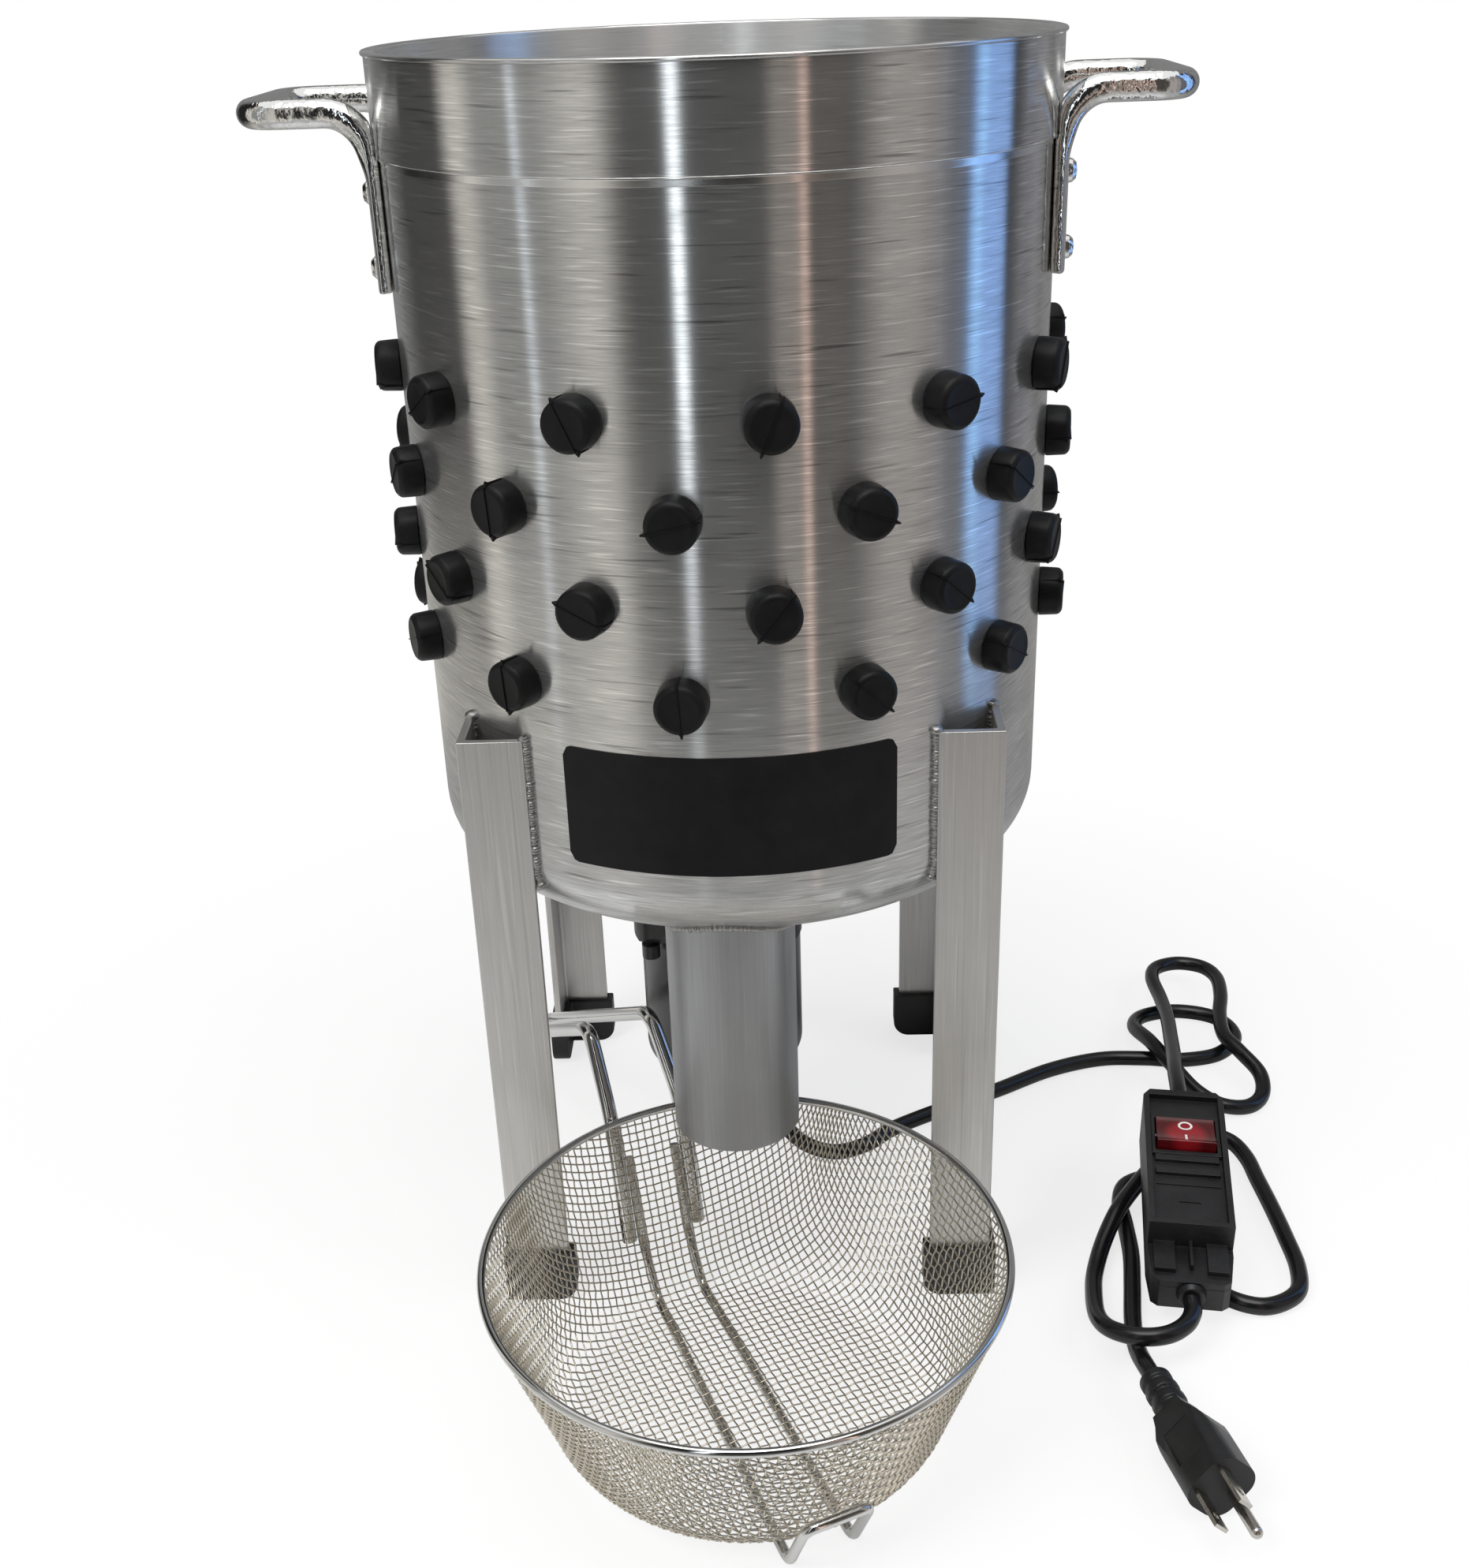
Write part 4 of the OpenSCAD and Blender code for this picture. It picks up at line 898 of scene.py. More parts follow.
def finger_shape(span):
    """One rubber finger: head above zero, neck in its hole, ribbed body below, with a mould line."""
    parts = [lathe([(r * MM, z * MM) for r, z in reversed(finger_outline(span))], 28)]
    half = sizes().flash_width / 2
    for reach, low, high in ((10.2, 0.4, 8.4), (8.9, 5.0, 9.95)):
        parts.append(box_solid((-reach * MM, -half, low * MM), (reach * MM, half, high * MM)))
    nub = [(8.4, -0.8, 9.3), (8.4, 0.8, 9.3), (10.9, -0.3, 8.6), (10.9, 0.3, 8.6), (9.4, -0.5, 5.6),
           (9.4, 0.5, 5.6)]
    faces = [(0, 2, 3, 1), (2, 4, 5, 3), (0, 1, 5, 4), (0, 4, 2), (1, 3, 5)]
    for side in (-1, 1):
        points = [(side * x * MM, y * MM, z * MM) for x, y, z in nub]
        parts.append((points, faces if side > 0 else [tuple(reversed(f)) for f in faces]))
    return mesh_from("finger_shape", *joined(parts), sharp=40)


def bowl_profile():
    """Points along the basket's wall from its middle past its rim: distance, radius and height."""
    steps = 32
    points = [(0.0, BOWL_FLOOR[1]), BOWL_FLOOR]
    bend = list(zip(BOWL_FLOOR, BOWL_BEND, BOWL_WALL))
    for k in range(1, steps + 1):
        points.append(tuple(quadratic(a, b, c, k / steps) for a, b, c in bend))
    points += [BOWL_RIM, BOWL_PAST_RIM]
    table, along = [(0.0, points[0][0], points[0][1])], 0.0
    for (r0, z0), (r1, z1) in zip(points, points[1:]):
        along += math.hypot(r1 - r0, z1 - z0)
        table.append((along, r1, z1))
    return table


def bowl_at(table, along):
    """Radius, height and the wall's direction at a distance from the middle."""
    for (s0, r0, z0), (s1, r1, z1) in zip(table, table[1:]):
        if along <= s1:
            break
    length = s1 - s0
    f = (along - s0) / length
    return r0 + f * (r1 - r0), z0 + f * (z1 - z0), (r1 - r0) / length, (z1 - z0) / length


def next_crossing(point, first, second, pitch, along, turn):
    """Steps from a guess to the spot on the bowl that is one pitch from two others."""
    step, turn_step = 1e-6, 1e-5
    most_turn = 0.1

    def miss(at_along, at_turn):
        here = point(at_along, at_turn)
        return (here - first).length - pitch, (here - second).length - pitch

    for _ in range(12):
        miss_first, miss_second = miss(along, turn)
        if abs(miss_first) + abs(miss_second) < 1e-8:
            break
        out_first, out_second = miss(along + step, turn)
        round_first, round_second = miss(along, turn + turn_step)
        a, d = (out_first - miss_first) / step, (out_second - miss_second) / step
        b, e = (round_first - miss_first) / turn_step, (round_second - miss_second) / turn_step
        area = a * e - b * d
        if abs(area) < 1e-9:
            break
        along -= max(-pitch, min(pitch, (miss_first * e - miss_second * b) / area))
        turn -= max(-most_turn, min(most_turn, (a * miss_second - d * miss_first) / area))
        along = max(along, 0.0)
    return along, turn


def weave_net(pitch):
    """Crossings of a square cloth laid in the basket: each is one pitch from its two neighbours."""
    table = bowl_profile()
    rim = table[-2][0] - 0.0004
    count = int(rim / pitch) + 3

    def point(along, turn):
        r, z, _, _ = bowl_at(table, along)
        return Vector((r * math.cos(turn), r * math.sin(turn), z))

    net = {}
    for i in range(count):
        net[i, 0] = (i * pitch, 0.0)
        net[0, i] = (i * pitch, math.pi / 2)
    for i in range(1, count):
        for j in range(1, count):
            if (i - 1, j) not in net or (i, j - 1) not in net:
                continue
            first, second, corner = net[i - 1, j], net[i, j - 1], net[i - 1, j - 1]
            if first[0] > rim and second[0] > rim:
                continue
            p, q = point(*first), point(*second)
            guess = p + q - point(*corner)
            net[i, j] = next_crossing(point, p, q, pitch, first[0] + second[0] - corner[0],
                                      math.atan2(guess.y, guess.x))
    return net, table, rim


def weave_spot(table, along, turn, lift):
    """A point on the bowl's wall, lifted off it."""
    r, z, dr, dz = bowl_at(table, along)
    away = Vector((-dz * math.cos(turn), -dz * math.sin(turn), dr)) * lift
    return Vector((r * math.cos(turn), r * math.sin(turn), z)) + away


def cut_at_rim(row, rim):
    """A wire's points up to the rim, with one between each two crossings."""
    line = []
    for (a, along_a), (b, along_b) in zip(row, row[1:]):
        if along_a > rim and along_b > rim:
            continue
        if along_a > rim:
            line.append(b + (a - b) * ((rim - along_b) / (along_a - along_b)))
        elif along_b > rim:
            line += [a, a + (b - a) * ((rim - along_a) / (along_b - along_a))]
            break
        else:
            line += [(a + b) / 2, b] if line else [a, (a + b) / 2, b]
    return line


def weave_lines(net, table, rim, wire, flip):
    """Wires of one direction, rising and dipping by half a wire at each crossing."""
    count = max(i for i, _ in net)
    lines = []
    for i in range(-count, count + 1):
        row = []
        for j in range(-count, count + 1):
            across, down = (j, i) if flip else (i, j)
            if (abs(across), abs(down)) not in net:
                if row:
                    break
                continue
            along, turn = net[abs(across), abs(down)]
            over = ((i + j) % 2 == 0) != flip
            spot = weave_spot(table, along, turn, wire / 2 if over else -wire / 2)
            if across < 0:
                spot.x = -spot.x
            if down < 0:
                spot.y = -spot.y
            row.append((spot, along))
        line = cut_at_rim(row, rim)
        if len(line) > 3:
            clean = [line[0]]
            for spot in line[1:]:
                if (spot - clean[-1]).length > 1e-5:
                    clean.append(spot)
            lines.append([BASKET_FRAME @ spot for spot in clean])
    return lines


def curved_patch(radius, half_angle, low, high, corner, thick):
    """A thin sheet wrapped on the drum's front, with rounded corners."""
    columns, rows = 72, 6
    verts, faces = [], []
    width = radius * half_angle
    for layer in (radius, radius + thick):
        for i in range(columns + 1):
            across = -width + 2 * width * i / columns
            inset = max(0.0, abs(across) - (width - corner))
            cut = corner - math.sqrt(max(0.0, corner ** 2 - inset ** 2))
            angle = across / radius
            for j in range(rows + 1):
                z = low + cut + (high - low - 2 * cut) * j / rows
                verts.append((layer * math.sin(angle), -layer * math.cos(angle), z))
    tall = rows + 1
    outer = (columns + 1) * tall
    for i in range(columns):
        a, b = i * tall, (i + 1) * tall
        for j in range(rows):
            faces.append((a + j, a + j + 1, b + j + 1, b + j))
            faces.append((outer + a + j, outer + b + j, outer + b + j + 1, outer + a + j + 1))
        faces.append((a, b, outer + b, outer + a))
        faces.append((a + rows, outer + a + rows, outer + b + rows, b + rows))
    for j in range(rows):
        end = columns * tall + j
        faces.append((j, outer + j, outer + j + 1, j + 1))
        faces.append((end, end + 1, outer + end + 1, outer + end))
    return verts, faces


def drum_shell():
    """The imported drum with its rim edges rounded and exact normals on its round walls."""
    work = node_work("drum_pot")
    top = DRUM_HIGH[2]
    circles = [(DRUM_R + LIP_PROUD, top), (DRUM_R + LIP_PROUD, top - LIP_DEEP), (DRUM_R - DRUM_WALL, top)]

    def on_circles(vert):
        radius = math.hypot(vert.co.x, vert.co.y)
        return {k for k, (r, z) in enumerate(circles)
                if abs(radius - r) < 4e-5 and abs(vert.co.z - z) < 1e-5}
    rim = [edge for edge in work.edges if on_circles(edge.verts[0]) & on_circles(edge.verts[1])]
    bmesh.ops.bevel(work, geom=rim, offset=0.00075, segments=3, profile=0.5, affect="EDGES",
                    clamp_overlap=True)
    mesh = mesh_of_work("drum_shell", work)
    mesh.set_sharp_from_angle(angle=math.radians(40))
    normals = [Vector(corner.vector) for corner in mesh.corner_normals]
    for polygon in mesh.polygons:
        lean = polygon.normal.dot(away_from_axis(polygon.center))
        if abs(polygon.normal.z) < 0.03 and abs(lean) > 0.97:
            for k in polygon.loop_indices:
                spot = mesh.vertices[mesh.loops[k].vertex_index].co
                normals[k] = away_from_axis(spot) * math.copysign(1.0, lean)
    mesh.normals_split_custom_set(normals)
    return mesh


def band_cove():
    """The turned strip under the rim band, and the band's bright lower edge."""
    edge = DRUM_HIGH[2] - BAND_DEEP
    section = [(-0.6, -2.6), (0.05, -2.6), (0.12, -2.4), (0.16, -0.6), (0.3, -0.15), (0.95, -0.05),
               (1.3, 0.22), (1.48, 0.5), (1.3, 0.65), (-0.6, 0.65)]
    verts, faces = ring_lathe([(DRUM_R + r * MM, edge + z * MM) for r, z in section], 200)
    mesh = mesh_from("drum_band_cove", verts, faces)
    outward_faces(mesh)
    mesh.set_sharp_from_angle(angle=math.radians(50))
    return mesh


def under_drum(radius):
    """Height of the drum's underside at a distance from its axis."""
    past_flat = max(0.0, radius - (DRUM_R - DRUM_CORNER))
    return DRUM_LOW[2] + DRUM_CORNER - math.sqrt(max(0.0, DRUM_CORNER ** 2 - past_flat ** 2))


def wall_radius(z):
    """Radius of the drum's outside at a height."""
    below_wall = max(0.0, DRUM_LOW[2] + DRUM_CORNER - z)
    return DRUM_R - DRUM_CORNER + math.sqrt(max(0.0, DRUM_CORNER ** 2 - below_wall ** 2))


def away_from_axis(spot):
    return Vector((spot.x, spot.y, 0.0)).normalized()


def downwards(spot):
    return Vector((0, 0, -1))


def weld_blob():
    """One ripple of a weld bead."""
    arc = [math.pi * (k / 6 - 0.5) for k in range(1, 6)]
    profile = [(0.0, -1.0)] + [(math.cos(a), math.sin(a)) for a in arc] + [(0.0, 1.0)]
    return mesh_from("weld_blob", *lathe([(r * 0.001, z * 0.00062) for r, z in profile], 10))


def bead(points, outward, radius, seed):
    """Seats for ripples along a path, each a little off line and off size."""
    chance = random.Random(seed)
    seats, carry, step = [], 0.0, radius * 0.62
    for a, b in zip(points, points[1:]):
        run = (b - a).length
        while carry < run:
            spot = a.lerp(b, carry / run)
            along = (b - a).normalized()
            shift = Vector([chance.uniform(-0.12, 0.12) * radius for _ in range(3)])
            axis = (along + outward(spot) * chance.uniform(-0.25, 0.25)).normalized()
            seats.append((spot + shift, axis, radius / MM * chance.uniform(0.82, 1.12)))
            carry += step * chance.uniform(0.75, 1.25)
        carry -= run
    for end in (0, -1):
        spot, axis, size = seats[end]
        seats[end] = (spot, axis, size * 1.3)
    return seats


def rocker_rise(y):
    """Height of the rocker's hollowed top above its pivot, in millimetres."""
    return 3.2 + 1.6 * (y / ROCKER_REACH) ** 2


def rocker_shape():
    """The rocker: a hollowed bar with drawn-in underside and a pivot pin at each end."""
    section = [(y, rocker_rise(y)) for y in (v * ROCKER_REACH / 8 for v in range(-8, 9))]
    section += [(ROCKER_REACH, -0.5), (5.6, -5.5), (-5.6, -5.5), (-ROCKER_REACH, -0.5)]
    count = len(section)
    verts = [(x * MM, y * MM, z * MM) for x in (-ROCKER_HALF, ROCKER_HALF) for y, z in section]
    faces = [tuple(range(count)), tuple(reversed(range(count, 2 * count)))]
    faces += [(k, count + k, count + n, n) for k, n in neighbours(count)]
    pin_verts, pin_faces = lathe([(0.0, -0.0137), (0.0014, -0.0137), (0.0014, 0.0137), (0.0, 0.0137)], 20)
    pin = ([(z, x, y) for x, y, z in pin_verts], pin_faces)
    mesh = mesh_from("rocker_red", *joined([(verts, faces), pin]))
    outward_faces(mesh)
    mesh = rounded_mesh("rocker_red", mesh, 0.0004, 3)
    mesh.transform(ROCKER_FRAME)
    return mesh


def rocker_marks():
    """A bar on the rocker's near half and a ring on its far half, thin on the surface."""
    lift, ring_middle = 0.03, 4.4

    def spot(x, y):
        return (x * MM, y * MM, (rocker_rise(y) + lift) * MM)

    def strip(first, second, pairs):
        count = len(first)
        return first + second, [(k, n, count + n, count + k) for k, n in pairs]

    def oval(wide, high):
        return [spot(wide * math.cos(t), ring_middle + high * math.sin(t)) for t in turns(40)]
    rows = [-7.0 + 5.0 * k / 6 for k in range(7)]
    bar = strip([spot(0.5, y) for y in rows], [spot(-0.5, y) for y in rows], neighbours(7)[:-1])
    ring = strip(oval(3.2, 2.6), oval(2.2, 1.7), neighbours(40))
    mesh = mesh_from("rocker_marks", *joined([bar, ring]))
    mesh.transform(ROCKER_FRAME)
    return mesh


# Operators
class PLUCKER_OT_drum(bpy.types.Operator):
    """Finish the drum and spout, and lay the bare label on the drum's front"""
    bl_idname = "plucker.drum"
    bl_label = "Drum and Spout"

    def execute(self, context):
        shell = drum_shell()
        add_piece("drum_shell", shell, drum_finish, "frame", "drum_alloy", "drum_pot")
        # Inside faces take the lighter copy, whose colour is painted light falling inside the drum.
        shell.materials.append(finish_of(inside_finish))
        for polygon in shell.polygons:
            if polygon.normal.dot(away_from_axis(polygon.center)) < -0.9:
                polygon.material_index = 1
        add_piece("drum_band_cove", band_cove(), band_finish, "frame", "drum_alloy")
        finish_nodes(spout_finish, "drain_spout")
        verts, faces = curved_patch(DRUM_R + LABEL_GAP, LABEL_HALF_TURN, LABEL_LOW, LABEL_HIGH,
                                    LABEL_CORNER, LABEL_THICK)
        mesh = mesh_from("drum_label", verts, faces, sharp=40)
        add_piece("drum_label", mesh, label_finish, "frame", "switch_black")
        return {"FINISHED"}


class PLUCKER_OT_handles(bpy.types.Operator):
    """Round the cast handles and polish them and their rivets"""
    bl_idname = "plucker.handles"
    bl_label = "Handles"

    def execute(self, context):
        for side in ("left", "right"):
            name = "handle_%s_cast" % side
            mesh = evaluated_mesh(name, merged_copy("handle_" + side), self.cast)
            self.flatten(mesh)
            add_piece(name, mesh, casting_finish, "frame", "cast_alloy", "handle_" + side)
            finish_nodes(casting_finish, "handle_rivets_" + side)
        return {"FINISHED"}

    def cast(self, holder):
        """Melts a handle's parts into one rounded casting."""
        melt = holder.modifiers.new("Cast", "REMESH")
        melt.mode = "VOXEL"
        melt.voxel_size = sizes().cast_voxel
        melt.use_smooth_shade = True
        ease = holder.modifiers.new("Ease", "SMOOTH")
        ease.factor = 0.5
        ease.iterations = 5

    def flatten(self, mesh):
        """Presses the arms to the drum below their bend, and draws their ends up to the lower rivets."""
        limit = DRUM_R + ARM_THICK
        for vert in mesh.vertices:
            spot = vert.co
            press = min(1.0, max(0.0, (ARM_BEND - spot.z) / ARM_BEND_RUN))
            press = press * press * (3.0 - 2.0 * press)
            radius = math.hypot(spot.x, spot.y)
            if radius > limit:
                scale = 1.0 + press * ((limit + ARM_THICK_SHARE * (radius - limit)) / radius - 1.0)
                spot.x *= scale
                spot.y *= scale
            if spot.z < ARM_END:
                spot.z = ARM_END - ARM_END_SHARE * (ARM_END - spot.z)
        mesh.update()


class PLUCKER_OT_legs(bpy.types.Operator):
    """Round the legs and feet"""
    bl_idname = "plucker.legs"
    bl_label = "Legs and Feet"

    def execute(self, context):
        for corner in CORNERS:
            soften_node("leg_" + corner, "_angle", 0.0005, leg_finish, "leg_alloy")
        for corner in CORNERS:
            soften_node("foot_" + corner, "_cap", 0.0009, foot_finish, "foot_black", 3)
        return {"FINISHED"}


class PLUCKER_OT_welds(bpy.types.Operator):
    """Run weld beads along the leg edges and round the spout's top"""
    bl_idname = "plucker.welds"
    bl_label = "Welds"

    def execute(self, context):
        seats = []
        tip = LEG_CORNER - LEG_FLANGE
        face = math.sqrt(DRUM_R ** 2 - tip ** 2)
        inner, outer = tip - 0.0006, face + 0.0009
        for x in (-1, 1):
            for y in (-1, 1):
                for across, deep in ((inner, outer), (outer, inner)):
                    seats += bead(self.leg_path(x * across, y * deep), away_from_axis, LEG_BEAD_R,
                                  len(seats) + 1)
        seats += bead(self.spout_path(), downwards, SPOUT_BEAD_R, 77)
        mesh = seated("weld_beads", weld_blob(), seats, sizes().turn_seed, weld_finish)
        add_piece("weld_beads", mesh, None, "frame", "leg_alloy")
        return {"FINISHED"}

    def leg_path(self, x, y):
        """Down a leg's edge, drawn in where the drum's corner rounds away from it."""
        path = []
        for k in range(BEAD_STEPS):
            z = LEG_TOP + 0.0005 - BEAD_STEP * k
            drop = DRUM_R - wall_radius(z)
            path.append(Vector((x - drop * x / DRUM_R, y - drop * y / DRUM_R, z)))
        return path

    def spout_path(self):
        """Round the spout where it meets the drum's underside."""
        middle = (Vector(SPOUT_LOW) + Vector(SPOUT_HIGH)) / 2
        reach = (SPOUT_HIGH[0] - SPOUT_LOW[0]) / 2 + 0.0003
        path = []
        for angle in turns(72) + [2 * math.pi]:
            x, y = middle.x + reach * math.cos(angle), middle.y + reach * math.sin(angle)
            path.append(Vector((x, y, under_drum(math.hypot(x, y)) - 0.0005)))
        return path


class PLUCKER_OT_fingers(bpy.types.Operator):
    """Seat the rubber fingers in the drum's wall and on the plate"""
    bl_idname = "plucker.fingers"
    bl_label = "Rubber Fingers"

    def execute(self, context):
        span = DRUM_R - math.sqrt((DRUM_R - DRUM_WALL) ** 2 - FINGER_SHOULDER_R ** 2) + FINGER_SLACK
        for k, node in enumerate(ROW_NAMES):
            low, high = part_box(node)
            level = Vector((0, 0, (low[2] + high[2]) / 2))
            seats = []
            for i in range(FINGERS_IN_ROW):
                angle = math.radians(ROW_PHASES[k % 2] + 360.0 / FINGERS_IN_ROW * i - 90.0)
                axis = Vector((math.cos(angle), math.sin(angle), 0.0))
                seats.append((axis * DRUM_R + level, axis, 1.0))
            self.seat(node, seats, span, "frame", k)
        seats = []
        for ring, count, first in PLATE_RINGS:
            for i in range(count):
                angle = math.radians(first + 360.0 * i / count)
                spot = Vector((ring * math.cos(angle), ring * math.sin(angle), PLATE_UNDERSIDE))
                seats.append((spot, Vector((0, 0, -1)), 1.0))
        self.seat("plate_fingers", seats, PLATE_THICK + FINGER_SLACK, "plate", 9)
        return {"FINISHED"}

    def seat(self, node, seats, span, body, seed_step):
        name = node + "_moulded"
        mesh = seated(name, finger_shape(span / MM), seats, sizes().turn_seed + seed_step, rubber_finish)
        add_piece(name, mesh, None, body, "finger_rubber", node)


class PLUCKER_OT_plate(bpy.types.Operator):
    """Finish the turning plate, its hub, shaft, seal and screws"""
    bl_idname = "plucker.plate"
    bl_label = "Feather Plate"

    def execute(self, context):
        finish_nodes(plate_finish, "feather_plate", "drive_hub")
        finish_nodes(steel_finish, "hub_screws", "hub_set_screw", "output_shaft", "mounting_screws")
        finish_nodes(rubber_finish, "shaft_seal")
        return {"FINISHED"}


class PLUCKER_OT_drive(bpy.types.Operator):
    """Round and paint the gearbox and motor"""
    bl_idname = "plucker.drive"
    bl_label = "Gearbox and Motor"

    def execute(self, context):
        for node in ("gearbox_flange", "gearbox_case"):
            soften_node(node, "_painted", 0.0008, drive_finish, "drive_black")
        finish_nodes(drive_finish, "motor_can", "motor_end_cap", "gearbox_screws")
        finish_nodes(plug_finish, "cord_gland")
        return {"FINISHED"}


class PLUCKER_OT_switch(bpy.types.Operator):
    """Round the switch box and build its red rocker with white marks"""
    bl_idname = "plucker.switch"
    bl_label = "Switch Box"

    def execute(self, context):
        for node, width in (("switch_base", 0.0008), ("switch_cover", 0.0005), ("switch_bezel", 0.0003)):
            soften_node(node, "_moulded", width, box_finish, "switch_black")
        soften_node("switch_grommets", "_moulded", 0.0006, plug_finish, "cord_black")
        finish_nodes(steel_finish, "switch_screws")
        add_piece("rocker_red", rocker_shape(), rocker_finish, "rocker", "rocker_red", "switch_rocker")
        add_piece("rocker_marks", rocker_marks(), mark_finish, "rocker", "rocker_red")
        return {"FINISHED"}


class PLUCKER_OT_plug(bpy.types.Operator):
    """Round the plug and finish its pins"""
    bl_idname = "plucker.plug"
    bl_label = "Plug"

    def execute(self, context):
        soften_node("plug_body", "_moulded", 0.0009, plug_finish, "cord_black", 3)
        soften_node("plug_relief", "_moulded", 0.0005, plug_finish, "cord_black")
        soften_node("plug_blades", "_plated", 0.0003, pin_finish, "pin_metal")
        finish_nodes(pin_finish, "ground_pin")
        return {"FINISHED"}


class PLUCKER_OT_cords(bpy.types.Operator):
    """Lay the lead from the motor to the switch and the lead from the switch to the plug"""
    bl_idname = "plucker.cords"
    bl_label = "Cords"

    def execute(self, context):
        diameter = sizes().cord_diameter
        switch = ["switch_base_moulded", "switch_cover_moulded", "switch_bezel_moulded", "switch_screws",
                  "switch_grommets_moulded", "rocker_red", "rocker_marks"]
        plug = ["plug_body_moulded", "plug_relief_moulded", "plug_blades_plated", "ground_pin"]
        for name, route, far_end, pieces in (("motor_lead", MOTOR_ROUTE, "fitting", switch),
                                             ("plug_lead", PLUG_ROUTE, "plug", plug)):
            line = smooth_line(route, 8)
            verts, faces = tube(line, diameter / 2, 18)
            mesh = mesh_from(name + "_sheath", verts, faces, sharp=50)
            cord = add_piece(name + "_sheath", mesh, cord_finish, "frame", "cord_black", name)
        return {"FINISHED"}


class PLUCKER_OT_basket(bpy.types.Operator):
    """Weave the basket's bowl and bend its rim, handle rod and runners"""
    bl_idname = "plucker.basket"
    bl_label = "Basket"

    def execute(self, context):
        net, table, rim = weave_net(sizes().weave_pitch)
        wire = sizes().weave_wire
        for name, flip in (("basket_weave_long", False), ("basket_weave_cross", True)):
            lines = weave_lines(net, table, rim, wire, flip)
            mesh = run_tree(name, wire_tree(), line_mesh(name, lines), Wire_radius=wire / 2, Sides=5,
                            Finish=finish_of(mesh_finish))
            add_piece(name, mesh, None, "basket", "mesh_steel", "basket_bowl")
        ring = [BASKET_FRAME @ Vector((BOWL_RIM[0] * math.cos(a), BOWL_RIM[0] * math.sin(a), RIM_WIRE_Z))
                for a in turns(160)]
        self.rod("basket_rim_wire", ring, 0.0016, "basket_rim", closed=True)
        self.rod("basket_handle_rod", self.bent(HANDLE_ROD, 9), 0.0032, "basket_handle")
        self.rod("basket_runner_rod", self.bent(RUNNER_ROD, 5), 0.002, "basket_runners")
        return {"FINISHED"}

    def bent(self, corners, round_over):
        """A rod's line in the basket's place, from corners in millimetres."""
        line = bent_line([Vector(p) * MM for p in corners], round_over * MM, 8)
        return [BASKET_FRAME @ p for p in line]

    def rod(self, name, line, radius, node, closed=False):
        mesh = run_tree(name, wire_tree(), line_mesh(name, [line], closed), Wire_radius=radius, Sides=20,
                        Finish=finish_of(chrome_finish))
        add_piece(name, mesh, None, "basket", "wire_chrome", node)


class PLUCKER_OT_stage(bpy.types.Operator):
    """Set the floor, the panels, the lamps and the camera"""
    bl_idname = "plucker.stage"
    bl_label = "Stage"

    def execute(self, context):
        pale_floor()
        soft_panels()
        lamps_and_world()
        photo_camera()
        return {"FINISHED"}


# Stage
def stage_object(name, verts, faces, material):
    mesh = mesh_from(name, verts, faces)
    mesh.materials.append(material)
    thing = bpy.data.objects.new(name, mesh)
    bpy.context.scene.collection.objects.link(thing)
    return thing


def ring_points(radius, height, count):
    return [(radius * math.cos(a), radius * math.sin(a), height) for a in turns(count)]


def pale_floor():
    """A pale floor, white away from the object, that metal shows a little darker further off."""
    material, tree, shader = new_material("stage_floor")
    path = tree.nodes.new("ShaderNodeLightPath")
    reach = add_node(tree, "ShaderNodeVectorMath", {0: object_coords(tree)}, operation="LENGTH")
    far = reach.outputs["Value"]
    dull = times(tree, path.outputs["Is Glossy Ray"], spread(tree, far, 0.22, 0.46, 0.2, 1.0))
    tone = blend_colour(tree, dull, rgba(colours().floor), rgba(colours().floor, FLOOR_DULL))
    fill(tree, shader, {"Base Color": tone, "Roughness": 0.9, "Specular IOR Level": 0.1})
    seen = combine(tree, "MAXIMUM", path.outputs["Is Camera Ray"], path.outputs["Is Transmission Ray"])
    white = times(tree, seen, spread(tree, far, 0.16, 0.46, 0.72, 1.0))
    glow = add_node(tree, "ShaderNodeEmission", {"Color": WHITE, "Strength": 1.0})
    both = blend_shader(tree, white, shader.outputs["BSDF"], glow.outputs["Emission"])
    tree.links.new(both, tree.nodes["Material Output"].inputs["Surface"])
    count = 96
    stage_object("stage_floor", ring_points(FLOOR_R, 0.0, count), [tuple(range(count))], material)


def soft_panels():
    """A ring of soft panels that only reflections see."""
    material = bpy.data.materials.new("stage_panels")
    material.use_nodes = True
    tree = material.node_tree
    tree.nodes.clear()
    turn, height = turn_and_height(tree)
    tone = rgba(PANEL_REST)
    for centre, half, soft, bottom, colour in PANELS:
        away = combine(tree, "ABSOLUTE", combine(tree, "SUBTRACT", turn, math.radians(centre)), 0.0)
        amount = spread(tree, away, math.radians(half), math.radians(half + soft), 1.0, 0.0)
        rise = spread(tree, height, bottom, bottom + PANEL_FADE, 0.1, 1.0)
        tone = blend_colour(tree, times(tree, amount, rise), tone, rgba(colour), "ADD")
    low = times(tree, spread(tree, height, 0.0, PANEL_LOW_TOP, 1.0, 0.0),
                spread(tree, turn, math.radians(-32), math.radians(-18), 0.72, 0.2))
    tone = blend_colour(tree, low, tone, rgba(PANEL_LOW))
    glow = add_node(tree, "ShaderNodeEmission", {"Color": tone, "Strength": 1.0})
    add_node(tree, "ShaderNodeOutputMaterial", {"Surface": glow.outputs["Emission"]})
    count = 128
    verts = ring_points(PANEL_R, PANEL_BOTTOM, count) + ring_points(PANEL_R, PANEL_TOP, count)
    faces = [(k, count + k, count + n, n) for k, n in neighbours(count)]
    ring = stage_object("stage_panels", verts, faces, material)
    ring.visible_camera = False
    ring.visible_diffuse = False
    ring.visible_shadow = False
    ring.visible_transmission = False


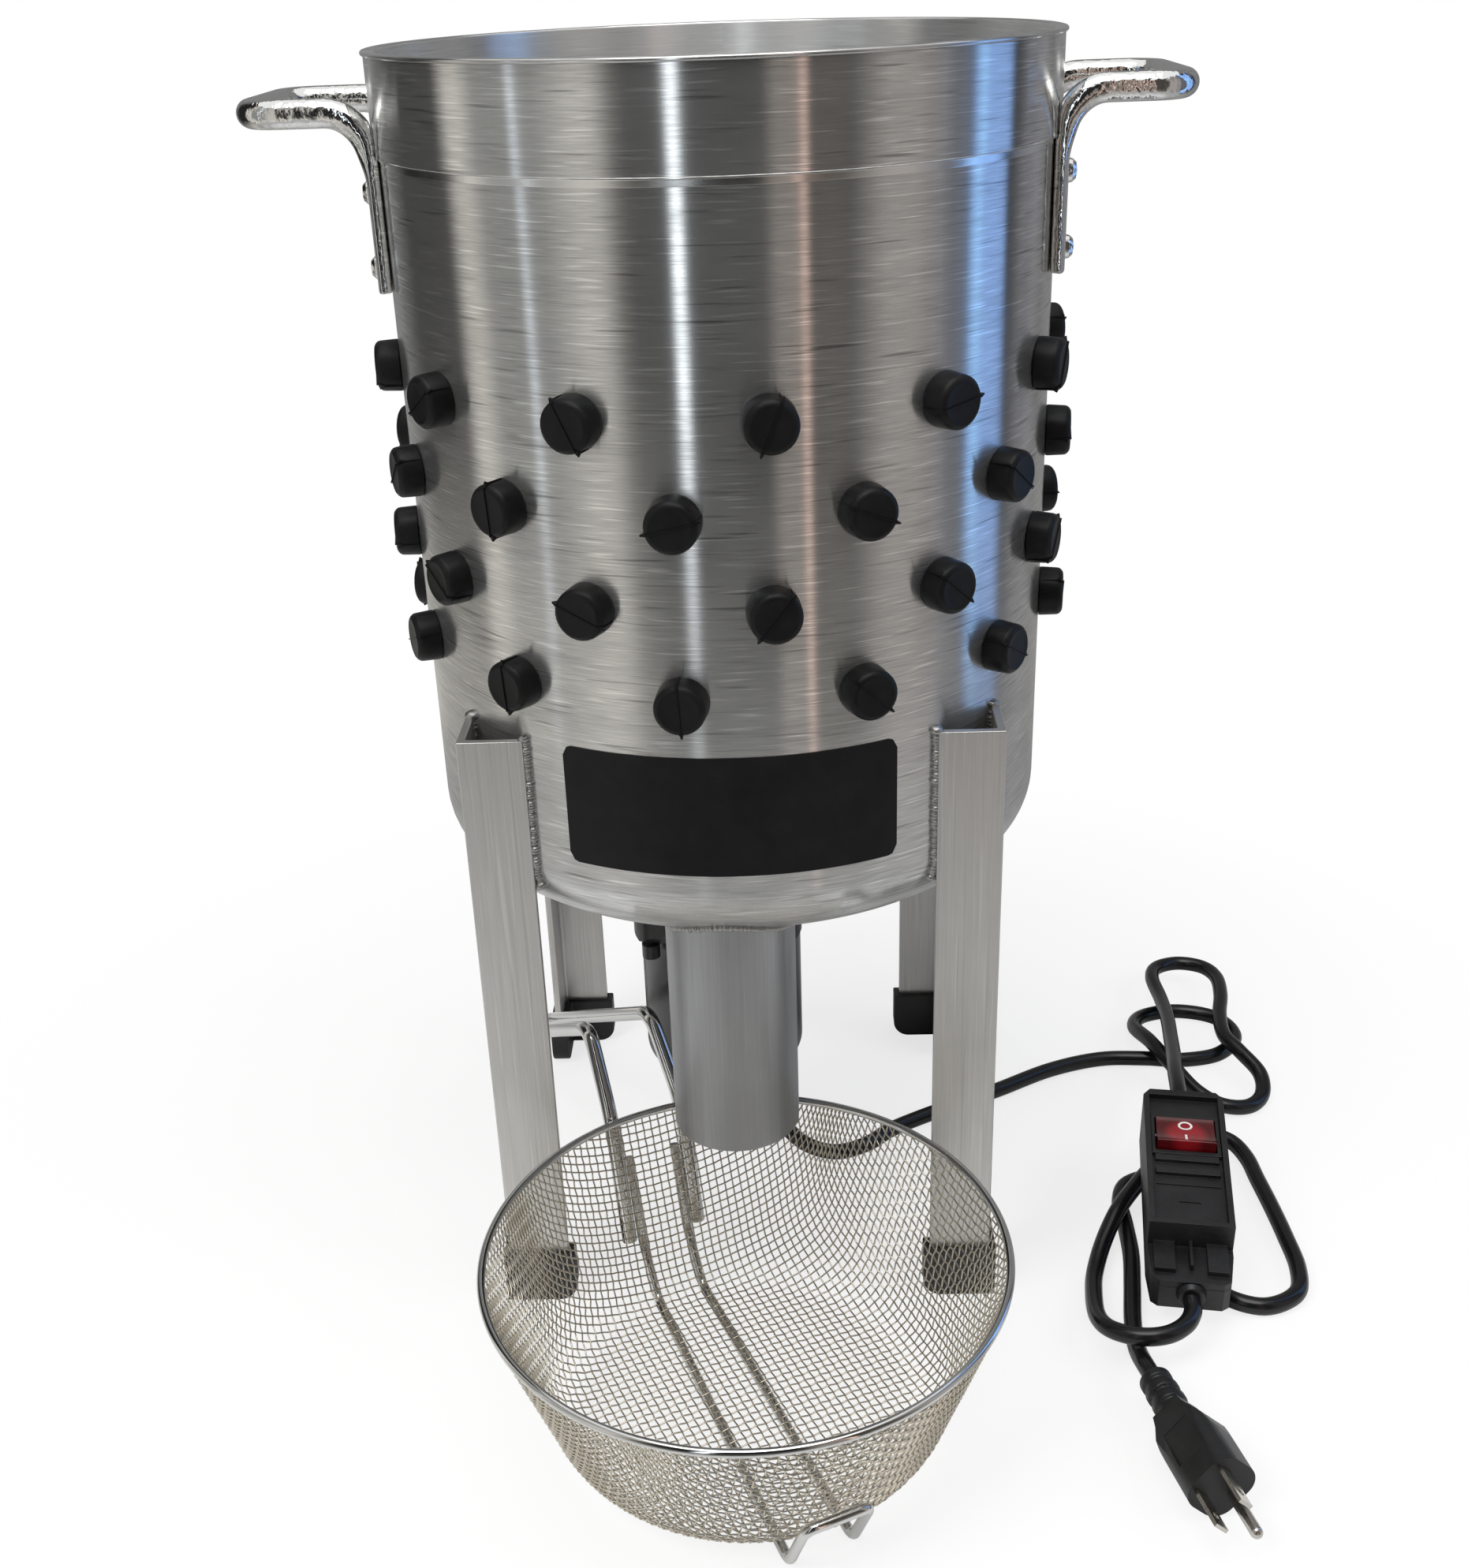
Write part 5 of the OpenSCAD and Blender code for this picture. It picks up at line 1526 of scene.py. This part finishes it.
def area_lamp(name, place, aim, side, power, colour, glossy=False):
    lamp = bpy.data.lights.new(name, "AREA")
    lamp.shape = "RECTANGLE"
    lamp.size, lamp.size_y = side, side
    lamp.energy = power
    lamp.color = colour
    thing = bpy.data.objects.new(name, lamp)
    bpy.context.scene.collection.objects.link(thing)
    thing.location = place
    thing.rotation_euler = (Vector(aim) - Vector(place)).to_track_quat("-Z", "Y").to_euler()
    thing.visible_glossy = glossy


def lamps_and_world():
    """Three soft lamps, and a dim world that is white to the eye and in reflections."""
    area_lamp("lamp_upper_left", (-0.9, -0.9, 1.5), (0, 0, 0.2), side=0.9, power=22.0,
              colour=(1.0, 0.99, 0.97))
    area_lamp("lamp_right", (1.3, -0.4, 1.0), (0, 0, 0.2), side=0.8, power=8.0, colour=(0.95, 0.98, 1.0))
    area_lamp("lamp_top", (0.0, -0.35, 1.7), (0, -0.05, 0.2), side=1.0, power=8.0, colour=(1.0, 1.0, 1.0),
              glossy=True)
    world = bpy.data.worlds.new("stage_world")
    bpy.context.scene.world = world
    world.use_nodes = True
    tree = world.node_tree
    tree.nodes.clear()
    path = tree.nodes.new("ShaderNodeLightPath")
    seen = combine(tree, "MAXIMUM", path.outputs["Is Camera Ray"], path.outputs["Is Glossy Ray"])
    seen = combine(tree, "MAXIMUM", seen, path.outputs["Is Transmission Ray"])
    dim, white = (add_node(tree, "ShaderNodeBackground", {"Color": WHITE, "Strength": strength})
                  for strength in (WORLD_DIM, 1.0))
    both = blend_shader(tree, seen, dim.outputs["Background"], white.outputs["Background"])
    add_node(tree, "ShaderNodeOutputWorld", {"Surface": both})
    bpy.context.scene.view_settings.view_transform = "Standard"


def photo_camera():
    """The camera that matches the photograph's place, angle and lens."""
    level = math.cos(CAMERA_PITCH)
    ahead = Vector((math.sin(CAMERA_YAW) * level, math.cos(CAMERA_YAW) * level, -math.sin(CAMERA_PITCH)))
    right = Vector((math.cos(CAMERA_YAW), -math.sin(CAMERA_YAW), 0.0))
    up = right.cross(ahead)
    right = math.cos(CAMERA_ROLL) * right + math.sin(CAMERA_ROLL) * up
    up = right.cross(ahead)
    lens = bpy.data.cameras.new("photo_camera")
    lens.sensor_fit = "AUTO"
    lens.sensor_width = SENSOR_SIDE
    lens.lens = FOCAL_PIXELS / max(IMAGE_SIZE) * SENSOR_SIDE
    lens.clip_start = 0.01
    camera = bpy.data.objects.new("photo_camera", lens)
    bpy.context.scene.collection.objects.link(camera)
    turn = Matrix((right, up, -ahead)).transposed().to_4x4()
    camera.matrix_world = Matrix.Translation(CAMERA_AT) @ turn
    bpy.context.scene.camera = camera


class PLUCKER_PT_pieces(bpy.types.Panel):
    """Buttons that build each group of pieces"""
    bl_idname = "PLUCKER_PT_pieces"
    bl_label = "Plucker"
    bl_space_type = "VIEW_3D"
    bl_region_type = "UI"
    bl_category = "Plucker"

    def draw(self, context):
        for operator in OPERATORS:
            self.layout.operator(operator.bl_idname, text=operator.bl_label)
        for group in (context.scene.plucker_sizes, context.scene.plucker_colours):
            for key in group.bl_rna.properties.keys():
                if key not in {"rna_type", "name"}:
                    self.layout.prop(group, key)


OPERATORS = (PLUCKER_OT_stage, PLUCKER_OT_drum, PLUCKER_OT_handles, PLUCKER_OT_legs, PLUCKER_OT_welds,
             PLUCKER_OT_fingers, PLUCKER_OT_plate, PLUCKER_OT_drive, PLUCKER_OT_switch, PLUCKER_OT_plug,
             PLUCKER_OT_cords, PLUCKER_OT_basket)
CLASSES = (PluckerSizes, PluckerColours) + OPERATORS + (PLUCKER_PT_pieces,)


def register():
    for item in CLASSES:
        bpy.utils.register_class(item)
    bpy.types.Scene.plucker_sizes = PointerProperty(type=PluckerSizes)
    bpy.types.Scene.plucker_colours = PointerProperty(type=PluckerColours)


def unregister():
    del bpy.types.Scene.plucker_colours
    del bpy.types.Scene.plucker_sizes
    for item in reversed(CLASSES):
        bpy.utils.unregister_class(item)


def main():
    register()
    bpy.ops.plucker.stage()
    bpy.ops.plucker.drum()
    bpy.ops.plucker.handles()
    bpy.ops.plucker.legs()
    bpy.ops.plucker.welds()
    bpy.ops.plucker.fingers()
    bpy.ops.plucker.plate()
    bpy.ops.plucker.drive()
    bpy.ops.plucker.switch()
    bpy.ops.plucker.plug()
    bpy.ops.plucker.cords()
    bpy.ops.plucker.basket()


if __name__ == "__main__":
    main()
